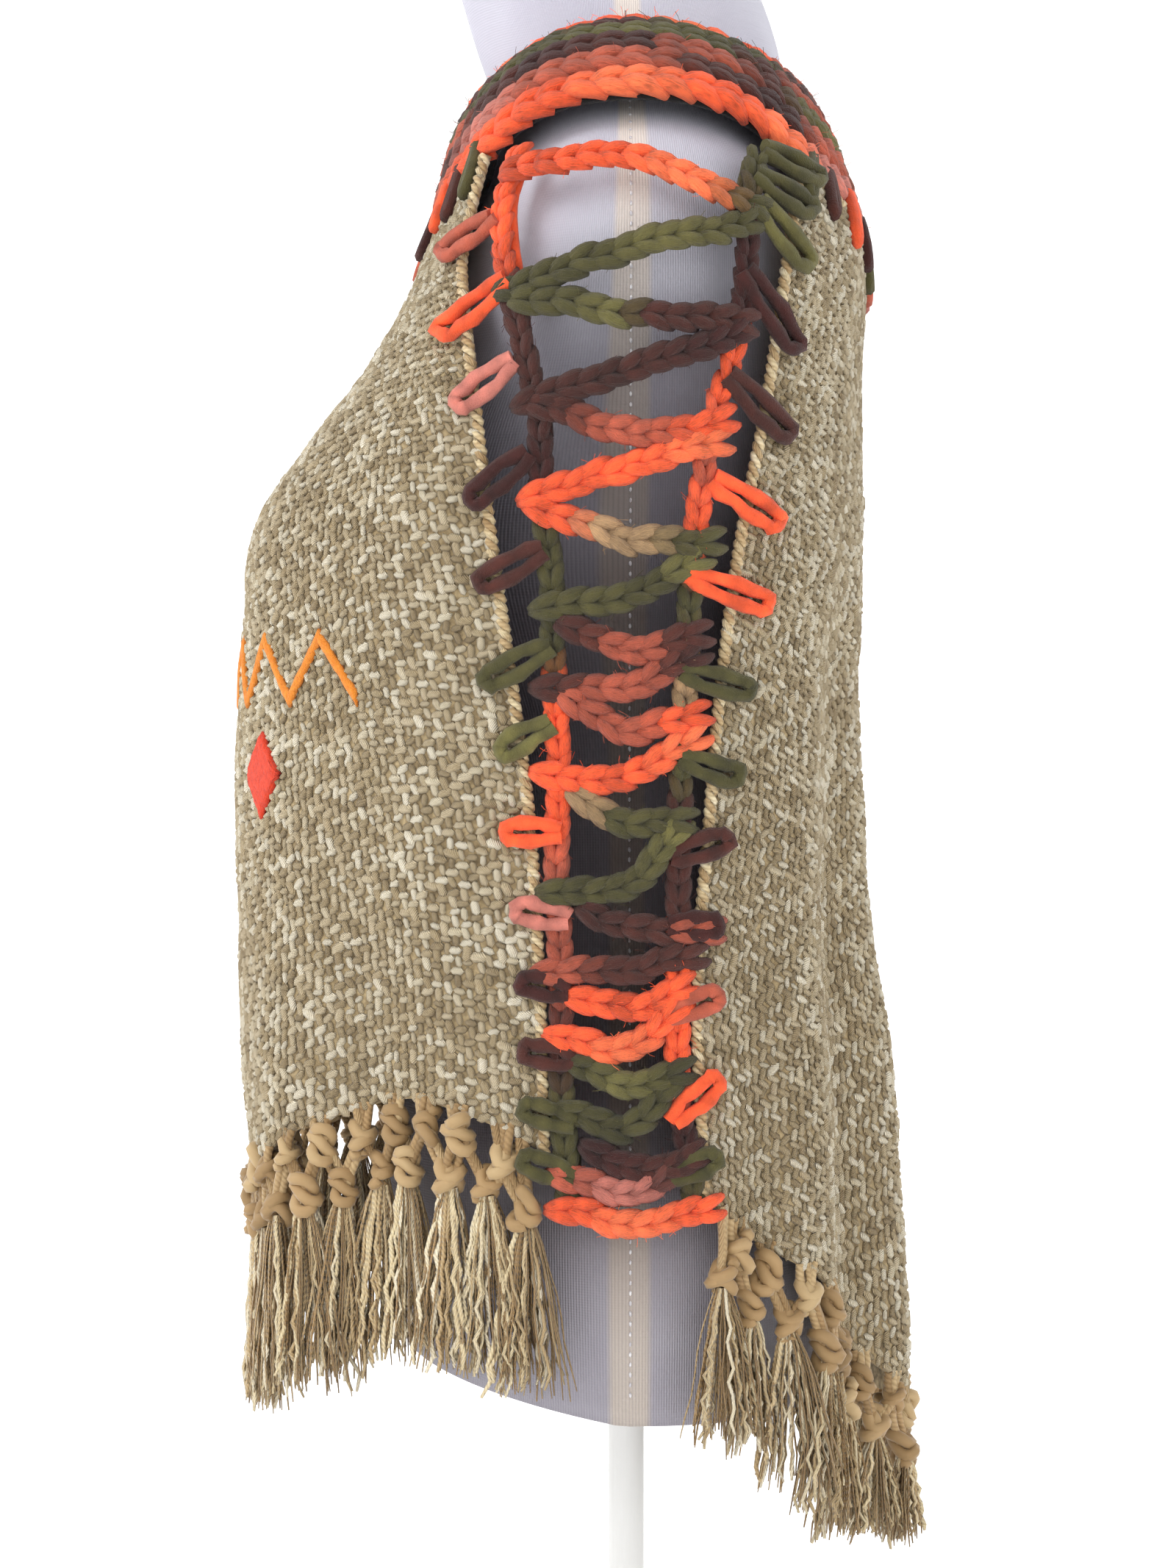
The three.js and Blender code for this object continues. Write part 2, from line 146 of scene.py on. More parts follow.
FORM = Table("z side front back", [
    (167, 146, -96, 97),
    (225, 149, -102, 99),
    (280, 145, -102, 95),
    (340, 129, -97, 84),
    (395, 119, -94, 77),
    (445, 124, -103, 79),
    (485, 136, -130, 84),
    (515, 146, -150, 88),
    (540, 154, -149, 91),
    (570, 161, -130, 94),
    (605, 169, -101, 96),
    (640, 174, -80, 97),
    (665, 173, -70, 95),
    (685, 164, -61, 89),
    (700, 148, -56, 82),
    (714, 126, -53, 76),
    (726, 100, -51, 72),
    (738, 77, -54, 72),
    (752, 64, -60, 74),
    (770, 58, -66, 70),
    (795, 55, -73, 61),
    (814, 54, -77, 56),
    (822, 50, -74, 52),
    (825, 41, -64, 43),
])
NECK_EDGE = {"side": 97, "front": -66, "back": 85, "side_z": 752, "front_z": 727, "back_z": 733}
SHOULDER_ARC = 22
YOKE_BULGE = 8
WOVEN_THICKNESS = 2.2


def smoothstep(value, low, high):
    f = np.clip((value - low) / (high - low), 0, 1)
    return f * f * (3 - 2 * f)


def unit(vectors):
    return vectors / np.maximum(np.linalg.norm(vectors, axis=-1, keepdims=True), 1e-9)


def section_point(table, squareness, mid_y, turn, z):
    """Points of level sections, where turn 0 is the centre front and a quarter is the wearer's left."""
    angle = np.asarray(turn) * FULL_TURN
    sine, forward = np.sin(angle), np.cos(angle)
    reach = np.where(forward > 0, table.at("front", z), table.at("back", z))
    x = table.at("side", z) * np.sign(sine) * np.abs(sine) ** (2 / squareness)
    y = mid_y + (reach - mid_y) * np.abs(forward) ** (2 / squareness)
    return np.stack(np.broadcast_arrays(x, y, z), -1)


def cloth_turn(z, y):
    """The turn at which the cloth's left side has a given Y."""
    y = np.asarray(y, float)
    reach = np.where(y < CLOTH_MID_Y, CLOTH.at("front", z), CLOTH.at("back", z))
    share = np.clip((y - CLOTH_MID_Y) / (reach - CLOTH_MID_Y), 0, 1) ** (CLOTH_SQUARENESS / 2)
    quarter = np.arccos(share) / FULL_TURN
    return np.where(y < CLOTH_MID_Y, quarter, 0.5 - quarter)


def cloth_stretch(z, start, end, shares):
    """Points at shares of the way along a stretch of the cloth's section, by length."""
    points = section_point(CLOTH, CLOTH_SQUARENESS, CLOTH_MID_Y, np.linspace(start, end, 121), z)
    lengths = np.concatenate([[0], np.cumsum(np.linalg.norm(np.diff(points, axis=0), axis=1))])
    at = np.asarray(shares) * lengths[-1]
    return np.stack([np.interp(at, lengths, points[:, i]) for i in range(3)], -1), lengths[-1]


def side_point(hand, y, z, out=0.0):
    """Points of the cloth's side surface over given Y and Z, and the directions out of it."""
    y, z = np.asarray(y, float), np.asarray(z, float)

    def across(y, z):
        reach = np.where(y < CLOTH_MID_Y, CLOTH.at("front", z), CLOTH.at("back", z))
        share = np.clip(np.abs((y - CLOTH_MID_Y) / (reach - CLOTH_MID_Y)), 0, 0.999)
        return CLOTH.at("side", z) * (1 - share**CLOTH_SQUARENESS) ** (1 / CLOTH_SQUARENESS)

    x = across(y, z)
    slope_y = (across(y + 1, z) - across(y - 1, z)) / 2
    slope_z = (across(y, z + 1) - across(y, z - 1)) / 2
    outward = unit(np.stack([hand * np.ones_like(x), -slope_y, -slope_z], -1))
    return np.stack([hand * x, y, z], -1) + outward * np.asarray(out)[..., None], outward


class Panel:
    """A woven panel's outer face, kept as a grid over its shares across and its heights."""

    SHARES = np.linspace(-1, 1, 161)
    LEVELS = np.arange(60, 716, 4.0)

    def __init__(self, name, edges, folds, sense):
        self.name, self.edges, self.sense = name, edges, sense
        rows, self.widths = [], []
        half = self.SHARES[self.SHARES >= 0]
        for z in self.LEVELS:
            edge = cloth_turn(z, SIDE_EDGES.at(name, z))
            right, width = cloth_stretch(z, 0 if name == "front" else 0.5, edge, half)
            left = right[:0:-1] * (-1, 1, 1)
            rows.append(np.concatenate([left, right]))
            self.widths.append(width)
        flat = np.array(rows)
        share, z = np.meshgrid(self.SHARES, self.LEVELS)
        depth = sum(
            fold["depth"]
            * smoothstep(fold["start"] - z, 0, fold["start"] - 250)
            * np.exp(-(((share - fold["share"]) / fold["spread"]) ** 2))
            for fold in folds
        )
        sewn = 1 - smoothstep(np.abs(share), 0.9, 1)
        along = np.gradient(flat, axis=1)
        level = unit(np.stack([along[..., 1], -along[..., 0], 0 * share], -1)) * sense
        # hand-woven cloth never hangs quite smooth
        uneven = 1.1 * np.sin(7.1 * share + 0.021 * z) * np.sin(0.034 * z - 5.3 * share + 1.2)
        uneven += 0.5 * np.sin(19 * share + 0.06 * z + 2) * np.sin(0.083 * z + 3.1 * share)
        self.points = flat - level * ((depth + uneven) * sewn)[..., None]
        across = np.gradient(self.points, axis=1)
        up = np.gradient(self.points, axis=0)
        self.normals = unit(np.cross(across, up)) * sense

    def _read(self, grid, share, z):
        i = np.interp(share, self.SHARES, np.arange(len(self.SHARES)))
        j = np.interp(z, self.LEVELS, np.arange(len(self.LEVELS)))
        i0 = np.minimum(i.astype(int), len(self.SHARES) - 2)
        j0 = np.minimum(j.astype(int), len(self.LEVELS) - 2)
        a, b = (i - i0)[..., None], (j - j0)[..., None]
        low = grid[j0, i0] * (1 - a) + grid[j0, i0 + 1] * a
        high = grid[j0 + 1, i0] * (1 - a) + grid[j0 + 1, i0 + 1] * a
        return low * (1 - b) + high * b

    def at(self, share, z, out=0.0):
        """Points over the panel, and the directions out of it."""
        share, z = np.broadcast_arrays(np.asarray(share, float), np.asarray(z, float))
        outward = unit(self._read(self.normals, share, z))
        return self._read(self.points, share, z) + outward * np.asarray(out, float)[..., None], outward

    def width(self, z):
        return np.interp(z, self.LEVELS, self.widths)

    def woven(self, share, up):
        """The same, where up runs from the woven hem, 0, to the top edge, 1."""
        share, up = np.broadcast_arrays(np.asarray(share, float), np.asarray(up, float))
        low, high = self.edges.at("bottom", share), self.edges.at("top", share)
        return low + (high - low) * up


FRONT = Panel("front", FRONT_EDGES, FRONT_FOLDS, 1)
BACK = Panel("back", BACK_EDGES, BACK_FOLDS, -1)


# --- Node trees ---


class Socket:
    """An output of a node. Arithmetic on it adds Math nodes."""

    def __init__(self, graph, output):
        self.graph, self.output = graph, output

    def other(self, key):
        return Socket(self.graph, self.output.node.outputs[key])

    def _math(self, operation, first, second):
        return self.graph.add("ShaderNodeMath", {"operation": operation}, {0: first, 1: second})

    def __add__(self, value):
        return self._math("ADD", self, value)

    def __sub__(self, value):
        return self._math("SUBTRACT", self, value)

    def __mul__(self, value):
        return self._math("MULTIPLY", self, value)

    __radd__ = __add__
    __rmul__ = __mul__

    def apply(self, operation, value=0.0):
        return self._math(operation, self, value)


class Graph:
    """A node tree of a material or a modifier."""

    def __init__(self, tree):
        self.tree = tree

    def add(self, kind, settings=None, sockets=None, output=0):
        node = self.tree.nodes.new(kind)
        for name, value in (settings or {}).items():
            if name == "stops":
                ramp = node.color_ramp
                while len(ramp.elements) < len(value):
                    ramp.elements.new(0.5)
                for element, (place, colour) in zip(ramp.elements, value):
                    element.position, element.color = place, (*colour, 1)
            else:
                setattr(node, name, value)
        for key, value in (sockets or {}).items():
            socket = node.inputs[key]
            if isinstance(value, Socket):
                self.tree.links.new(value.output, socket)
            else:
                socket.default_value = value
        return Socket(self, node.outputs[output] if node.outputs else None)


def srgb(code):
    """A colour from its six-digit code, as linear values."""
    parts = [int(code[i : i + 2], 16) / 255 for i in (0, 2, 4)]
    return tuple(c / 12.92 if c <= 0.04045 else ((c + 0.055) / 1.055) ** 2.4 for c in parts)


class Finish(Graph):
    """A material: its Principled surface, and the nodes that feed it."""

    def __init__(self, name, **constants):
        self.material = bpy.data.materials.new(name)
        self.material.use_nodes = True
        super().__init__(self.material.node_tree)
        self.surface = self.tree.nodes["Principled BSDF"]
        for socket, value in constants.items():
            self.surface.inputs[socket.replace("_", " ")].default_value = value

    def feed(self, name, socket):
        self.tree.links.new(socket.output, self.surface.inputs[name])

    def place(self):
        return self.add("ShaderNodeTexCoord").other("Object")

    def attribute(self, name, output="Fac"):
        return self.add("ShaderNodeAttribute", {"attribute_name": name}, output=output)

    def noise(self, vector, scale, detail=2.0, roughness=0.5):
        sockets = {"Vector": vector, "Scale": scale, "Detail": detail, "Roughness": roughness}
        return self.add("ShaderNodeTexNoise", {}, sockets)

    def stretch(self, vector, scale):
        return self.add("ShaderNodeMapping", {}, {"Vector": vector, "Scale": scale})

    def ramp(self, value, stops):
        return self.add("ShaderNodeValToRGB", {"stops": stops}, {"Fac": value})

    def blend(self, mode, part, first, second):
        settings = {"data_type": "RGBA", "blend_type": mode}
        return self.add("ShaderNodeMix", settings, {0: part, 6: first, 7: second}, output=2)

    def bump(self, height, distance, strength=1.0):
        sockets = {"Height": height, "Distance": distance, "Strength": strength}
        return self.add("ShaderNodeBump", {}, sockets)

    def across(self):
        """The two parts of a piece's own surface map."""
        surface = self.add("ShaderNodeUVMap", {"uv_map": "across"})
        parts = self.add("ShaderNodeSeparateXYZ", {}, {0: surface})
        return parts.other("X"), parts.other("Y")

    def wave(self, turns):
        """Soft stripes from 0 to 1, one for each turn."""
        return (turns * FULL_TURN).apply("SINE") * 0.5 + 0.5


class Maker(Graph):
    """A Geometry Nodes tree with named inputs, run once on a guide mesh."""

    def __init__(self, name, inputs):
        super().__init__(bpy.data.node_groups.new(name, "GeometryNodeTree"))
        faces = self.tree.interface
        faces.new_socket("Guide", in_out="INPUT", socket_type="NodeSocketGeometry")
        faces.new_socket("Made", in_out="OUTPUT", socket_type="NodeSocketGeometry")
        for label, kind in inputs.items():
            faces.new_socket(label, in_out="INPUT", socket_type="NodeSocket" + kind)
        self.given = self.add("NodeGroupInput")

    def attribute(self, name, kind="FLOAT_VECTOR"):
        settings = {"data_type": kind}
        return self.add("GeometryNodeInputNamedAttribute", settings, {"Name": name}, output="Attribute")

    def end(self, geometry, finish, drop=()):
        for name in drop:
            geometry = self.add("GeometryNodeRemoveAttribute", {}, {"Geometry": geometry, "Name": name})
        whole = self.add("GeometryNodeRealizeInstances", {}, {"Geometry": geometry})
        smooth = self.add("GeometryNodeSetShadeSmooth", {}, {"Geometry": whole})
        last = self.add("GeometryNodeSetMaterial", {}, {"Geometry": smooth, "Material": finish})
        self.add("NodeGroupOutput", {}, {"Made": last})

    def jitter(self):
        """A random number from -1 to 1 for each place."""
        number = self.add("FunctionNodeRandomValue", {"data_type": "FLOAT"}, {2: -1.0, 3: 1.0}, output=1)
        self.tree.links.new(self.given.other("Seed").output, number.output.node.inputs["Seed"])
        return number

    def facing(self, first, primary, second, secondary):
        settings = {"primary_axis": first, "secondary_axis": second}
        return self.add(
            "FunctionNodeAxesToRotation", settings, {"Primary Axis": primary, "Secondary Axis": secondary}
        )

    def place(self, points, facing, roll, swell, drop):
        """Puts the shape on points, rolled on its own axes and swollen, and ends the tree."""
        angles = self.add("ShaderNodeCombineXYZ", {}, roll)
        spin = self.add("FunctionNodeEulerToRotation", {}, {"Euler": angles})
        turns = {"Rotation": facing, "Rotate By": spin}
        turned = self.add("FunctionNodeRotateRotation", {"rotation_space": "LOCAL"}, turns)
        sizes = {0: self.attribute("size"), "Scale": swell}
        size = self.add("ShaderNodeVectorMath", {"operation": "SCALE"}, sizes)
        source = {"Object": self.given.other("Shape")}
        shape = self.add("GeometryNodeObjectInfo", {}, source, output="Geometry")
        sockets = {"Points": points, "Instance": shape, "Rotation": turned, "Scale": size}
        instances = self.add("GeometryNodeInstanceOnPoints", {}, sockets)
        self.end(instances, self.given.other("Finish"), drop)

    def run(self, name, guide, **values):
        """The tree's result on a guide as a new plain mesh object of that name."""
        modifier = guide.modifiers.new("make", "NODES")
        modifier.node_group = self.tree
        for item in self.tree.interface.items_tree:
            if item.in_out == "INPUT" and item.name in values:
                modifier[item.identifier] = values[item.name]
        bpy.context.view_layer.update()
        seen = guide.evaluated_get(bpy.context.evaluated_depsgraph_get())
        mesh = bpy.data.meshes.new_from_object(seen)
        guide.modifiers.remove(modifier)
        bpy.data.objects.remove(guide)
        made = bpy.data.objects.new(name, mesh)
        bpy.context.collection.objects.link(made)
        return made


def placed_tree():
    """Puts a shape on each of the guide's points, turned by its out and along and sized by its size."""
    tree = Maker(
        "shapes on points",
        {"Shape": "Object", "Finish": "Material", "Turn": "Float", "Swell": "Float", "Seed": "Int"},
    )
    facing = tree.facing("Z", tree.attribute("out"), "X", tree.attribute("along"))
    jitter = tree.jitter()
    roll = {"Z": jitter * tree.given.other("Turn")}
    swell = 1 + jitter.apply("SINE") * tree.given.other("Swell")
    tree.place(tree.given.other("Guide"), facing, roll, swell, ("out", "along", "size"))
    return tree


def chain_tree():
    """Works stitches one after another along the guide's lines."""
    tree = Maker(
        "stitches on lines",
        {"Shape": "Object", "Finish": "Material", "Pitch": "Float", "Turn": "Float", "Seed": "Int"},
    )
    lines = tree.add("GeometryNodeMeshToCurve", {}, {"Mesh": tree.given.other("Guide")})
    even = tree.add(
        "GeometryNodeResampleCurve",
        {"mode": "LENGTH"},
        {"Curve": lines, "Length": tree.given.other("Pitch")},
    )
    points = tree.add("GeometryNodeCurveToPoints", {"mode": "EVALUATED"}, {"Curve": even}, output="Points")
    facing = tree.facing("X", points.other("Tangent"), "Z", tree.attribute("out"))
    jitter = tree.jitter()
    angle = jitter * tree.given.other("Turn")
    swell = 1 + jitter.apply("COSINE") * 0.16 - 0.13
    tree.place(points, facing, {"X": angle, "Z": angle * 0.4}, swell, ("out", "size"))
    return tree


def strand_tree():
    """Gives the guide's lines their thickness, and notes the place along and around each for dyeing."""
    tree = Maker("strands on lines", {"Finish": "Material", "Sides": "Int"})
    lines = tree.add("GeometryNodeMeshToCurve", {}, {"Mesh": tree.given.other("Guide")})
    run = tree.add("GeometryNodeSplineParameter", output="Length")
    kept = tree.add(
        "GeometryNodeStoreNamedAttribute",
        {"data_type": "FLOAT", "domain": "POINT"},
        {"Geometry": lines, "Name": "run", "Value": run},
    )
    round_ = tree.add("GeometryNodeCurvePrimitiveCircle", {"mode": "RADIUS"}, {"Radius": 1.0})
    tree.tree.links.new(tree.given.other("Sides").output, round_.output.node.inputs["Resolution"])
    about = tree.add("GeometryNodeSplineParameter", output="Factor")
    ring = tree.add(
        "GeometryNodeStoreNamedAttribute",
        {"data_type": "FLOAT", "domain": "POINT"},
        {"Geometry": round_, "Name": "about", "Value": about},
    )
    tubes = tree.add(
        "GeometryNodeCurveToMesh",
        {},
        {"Curve": kept, "Profile Curve": ring, "Scale": tree.attribute("thick", "FLOAT"), "Fill Caps": True},
    )
    tree.end(tubes, tree.given.other("Finish"), drop=("thick",))
    return tree


# --- Meshes ---

KINDS = {"tone": "FLOAT", "thick": "FLOAT", "dye": "FLOAT_COLOR"}


def new_object(name, points, faces=(), edges=(), attributes=None, uv=None, finish=None):
    """A mesh object from points in millimetres. Attributes are per point, and uv is per point too."""
    mesh = bpy.data.meshes.new(name)
    mesh.from_pydata((np.asarray(points) * MM).tolist(), list(edges), list(faces))
    for label, values in (attributes or {}).items():
        kind = KINDS.get(label, "FLOAT_VECTOR")
        layer = mesh.attributes.new(label, kind, "POINT")
        values = np.asarray(values, np.float32)
        if kind == "FLOAT":
            layer.data.foreach_set("value", values.ravel())
        elif kind == "FLOAT_COLOR":
            layer.data.foreach_set("color", np.column_stack([values, np.ones(len(values))]).ravel())
        else:
            layer.data.foreach_set("vector", values.ravel())
    if uv is not None:
        corners = np.empty(len(mesh.loops), np.int32)
        mesh.loops.foreach_get("vertex_index", corners)
        mesh.uv_layers.new(name="across").data.foreach_set("uv", np.asarray(uv, np.float32)[corners].ravel())
    if faces:
        mesh.polygons.foreach_set("use_smooth", [True] * len(mesh.polygons))
    if finish is not None:
        mesh.materials.append(finish)
    made = bpy.data.objects.new(name, mesh)
    bpy.context.collection.objects.link(made)
    return made


def grid_faces(rows, columns, offset=0, ring=False, flip=False):
    faces = []
    for r in range(rows - 1):
        for c in range(columns if ring else columns - 1):
            n = (c + 1) % columns
            face = (r * columns + c, r * columns + n, (r + 1) * columns + n, (r + 1) * columns + c)
            faces.append(tuple(offset + i for i in (face[::-1] if flip else face)))
    return faces


def wall(name, outer, inner, uv, finish, ring=False):
    """A closed shell between two grids of points of the same shape, whose faces turn out on the outer one."""
    rows, columns = outer.shape[:2]
    layer = rows * columns
    faces = grid_faces(rows, columns, 0, ring) + grid_faces(rows, columns, layer, ring, flip=True)
    for c in range(columns if ring else columns - 1):
        n = (c + 1) % columns
        top = (rows - 1) * columns
        faces.append((layer + c, layer + n, n, c))
        faces.append((top + c, top + n, layer + top + n, layer + top + c))
    if not ring:
        for r in range(rows - 1):
            a, b = r * columns, (r + 1) * columns
            faces.append((a, b, layer + b, layer + a))
            a, b = a + columns - 1, b + columns - 1
            faces.append((b, a, layer + a, layer + b))
    points = np.concatenate([outer.reshape(-1, 3), inner.reshape(-1, 3)])
    uv = np.concatenate([uv.reshape(-1, 2)] * 2)
    return new_object(name, points, faces, uv=uv, finish=finish)


def tube(points, radii, sides, flat=1.0):
    """The points, faces and surface places of a closed tube along a line. flat squashes it along local Z."""
    points = np.asarray(points, float)
    run = unit(np.gradient(points, axis=0))
    up = np.array([0.0, 0.0, 1.0])
    across = unit(np.cross(up, run))
    over = np.cross(run, across)
    angles = np.linspace(0, FULL_TURN, sides, endpoint=False)
    rings = (
        points[:, None]
        + across[:, None] * (np.cos(angles)[None, :, None] * np.asarray(radii)[:, None, None])
        + over[:, None] * (np.sin(angles)[None, :, None] * np.asarray(radii)[:, None, None] * flat)
    )
    count = len(points)
    places = np.array([(r / (count - 1), s / sides) for r in range(count) for s in range(sides)])
    faces = grid_faces(count, sides, 0, ring=True)
    faces.append(tuple(range(sides))[::-1])
    faces.append(tuple(range((count - 1) * sides, count * sides)))
    return rings.reshape(-1, 3), faces, places


def shape_of_tubes(name, tubes):
    """One source shape from several tubes."""
    points, faces, places = [], [], []
    for tube_points, tube_faces, tube_places in tubes:
        start = sum(len(p) for p in points)
        points.append(tube_points)
        faces += [tuple(start + i for i in face) for face in tube_faces]
        places.append(tube_places)
    return new_object(name, np.concatenate(points), faces, uv=np.concatenate(places))


class Lines:
    """Lines with attributes at their points, which become one guide mesh."""

    def __init__(self):
        self.points, self.edges, self.attributes = [], [], {}
        self.count = 0

    def add(self, points, closed=False, **attributes):
        points = np.asarray(points, float)
        n = len(points)
        self.points.append(points)
        self.edges += [(self.count + i, self.count + i + 1) for i in range(n - 1)]
        if closed:
            self.edges.append((self.count + n - 1, self.count))
        for name, value in attributes.items():
            width = 1 if KINDS.get(name) == "FLOAT" else 3
            rows = np.asarray(value, float)
            rows = rows.reshape(-1, width) if rows.size > 1 else np.full((1, width), float(rows))
            self.attributes.setdefault(name, []).append(np.broadcast_to(rows, (n, width)))
        self.count += n

    def guide(self):
        attributes = {label: np.concatenate(values) for label, values in self.attributes.items()}
        return new_object("guide", np.concatenate(self.points), edges=self.edges, attributes=attributes)


def smooth_line(points, count):
    """A line of count points on a smooth curve through the given ones."""
    points = np.asarray(points, float)
    if len(points) == 2:
        return points[0] + (points[1] - points[0]) * np.linspace(0, 1, count)[:, None]
    lengths = np.concatenate([[0], np.cumsum(np.linalg.norm(np.diff(points, axis=0), axis=1))])
    columns = [Table("at value", np.column_stack([lengths, points[:, i]])) for i in range(points.shape[1])]
    at = np.linspace(0, lengths[-1], count)
    return np.column_stack([column.at("value", at) for column in columns])


DYES = {
    "orange": srgb("FF6030"),
    "flame": srgb("FF7848"),
    "olive": srgb("4C4824"),
    "moss": srgb("676234"),
    "brown": srgb("4A2118"),
    "maroon": srgb("3C140F"),
    "rust": srgb("B5573F"),
    "pink": srgb("C8786A"),
    "tan": srgb("B08F68"),
}


def dyed(names, count):
    """A run of colours along a line, each melting into the next, with the uneven uptake of a hand dye."""
    stops = np.array([DYES[name] for name in names])
    at = np.linspace(0, len(stops) - 1, count)
    i = np.clip(at.astype(int), 0, max(len(stops) - 2, 0))
    part = smoothstep(at - i, 0.2, 0.8)[:, None]
    colours = stops[i] * (1 - part) + stops[np.minimum(i + 1, len(stops) - 1)] * part
    return colours * (1 + 0.16 * chance.standard_normal((count, 1))).clip(0.6, 1.4)


def finish_piece(piece, slot, *nodes):
    """The calls that every piece has: it rides on the one body, and it may stand for CAD nodes."""
    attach(piece, BODY)
    if nodes:
        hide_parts(*nodes)
    return piece


# --- Finishes ---


def woven_finish():
    """The ground of the weave: the shaded wool between the floats."""
    finish = Finish("woven wool ground", Roughness=0.95, Sheen_Weight=0.1, Sheen_Roughness=0.6)
    place = finish.place()
    patchy = finish.noise(place, 300, 3)
    broad = finish.noise(place, 14, 2)
    tones = finish.ramp(patchy, [(0.3, srgb("6A5A40")), (0.5, srgb("94815F")), (0.7, srgb("B8A47E"))])
    shade = finish.ramp(broad, [(0.35, (0.85, 0.83, 0.8)), (0.65, (1, 1, 1))])
    finish.feed("Base Color", finish.blend("MULTIPLY", 1.0, tones, shade))
    finish.feed("Normal", finish.bump(finish.noise(place, 900, 2), 0.0006, 0.8))
    return finish.material


def float_finish():
    """The floats of the weave: loosely plied strands, cream to tan."""
    finish = Finish("woven wool floats", Roughness=0.85, Sheen_Weight=0.12, Sheen_Roughness=0.5)
    tone = finish.attribute("tone")
    along, around = finish.across()
    plies = finish.wave(along * 9.0 + around * 4.0)
    place = finish.place()
    fibres = finish.noise(place, 700, 2)
    stops = [
        (0.0, srgb("8C7858")),
        (0.3, srgb("BCA985")),
        (0.55, srgb("D6C6A6")),
        (0.8, srgb("EADFC4")),
        (1.0, srgb("FBF4E2")),
    ]
    colour = finish.ramp(tone * 0.78 + fibres * 0.34 - 0.06, stops)
    shaded = finish.ramp(plies, [(0.0, (0.72, 0.69, 0.64)), (0.5, (1, 1, 1))])
    broad = finish.ramp(finish.noise(place, 11, 2), [(0.35, (0.9, 0.88, 0.85)), (0.65, (1, 1, 1))])
    plied = finish.blend("MULTIPLY", 0.7, colour, shaded)
    finish.feed("Base Color", finish.blend("MULTIPLY", 1.0, plied, broad))
    finish.feed("Normal", finish.bump(plies + fibres * 0.6, 0.0005, 0.9))
    return finish.material


def yarn_finish():
    """Thick, loosely spun roving, hand dyed: soft streaks along the fibres and a fuzzy surface. The streaks
    also shape the bump, so their colour is partly painted light: painted shade in the dips and a painted
    highlight on the crests, while the patches are uneven dye.
    """
    finish = Finish("hand-dyed roving", Roughness=0.88, Sheen_Weight=0.12, Sheen_Roughness=0.4)
    dye = finish.attribute("dye", "Color")
    place = finish.place()
    along = finish.add("ShaderNodeUVMap", {"uv_map": "across"})
    streaks = finish.noise(finish.stretch(along, (2.5, 16.0, 1.0)), 2.2, 3, 0.6)
    patches = finish.noise(place, 140, 3)
    fibres = finish.noise(place, 1500, 3, 0.7)
    # partly painted light: the streaks that shape the bump darken its dips as painted shade and lighten its
    # crests as a painted highlight; the patches are uneven dye
    stops = [(0.32, (0.4, 0.34, 0.32)), (0.48, (0.95, 0.95, 0.95)), (0.68, (1.5, 1.42, 1.36))]
    value = finish.ramp(streaks * 0.6 + patches * 0.4, stops)
    finish.feed("Base Color", finish.blend("MULTIPLY", 0.85, dye, value))
    height = streaks * 1.2 + fibres * 0.8
    finish.feed("Normal", finish.bump(height, 0.0011, 0.9))
    return finish.material


def tassel_finish():
    """Fringe strands: each has its own tone between tan and cream, with a little shine."""
    finish = Finish("fringe strands", Roughness=0.7, Sheen_Weight=0.2, Sheen_Roughness=0.4)
    tone = finish.attribute("tone")
    run, about = finish.attribute("run"), finish.attribute("about")
    place = finish.place()
    stops = [
        (0.0, srgb("7E6540")),
        (0.35, srgb("A8895E")),
        (0.6, srgb("BFA67C")),
        (0.8, srgb("DCCBA4")),
        (1.0, srgb("F1E8D2")),
    ]
    plies = finish.wave(run * 420.0 + about * 2.0)
    colour = finish.ramp(tone + finish.noise(place, 90, 2) * 0.25 - 0.12, stops)
    shaded = finish.ramp(plies, [(0.0, (0.74, 0.7, 0.64)), (0.6, (1, 1, 1))])
    finish.feed("Base Color", finish.blend("MULTIPLY", 0.8, colour, shaded))
    finish.feed("Normal", finish.bump(plies, 0.0004, 0.8))
    return finish.material


RIBS_ROUND = 620
ROWS_PER_METRE = 900


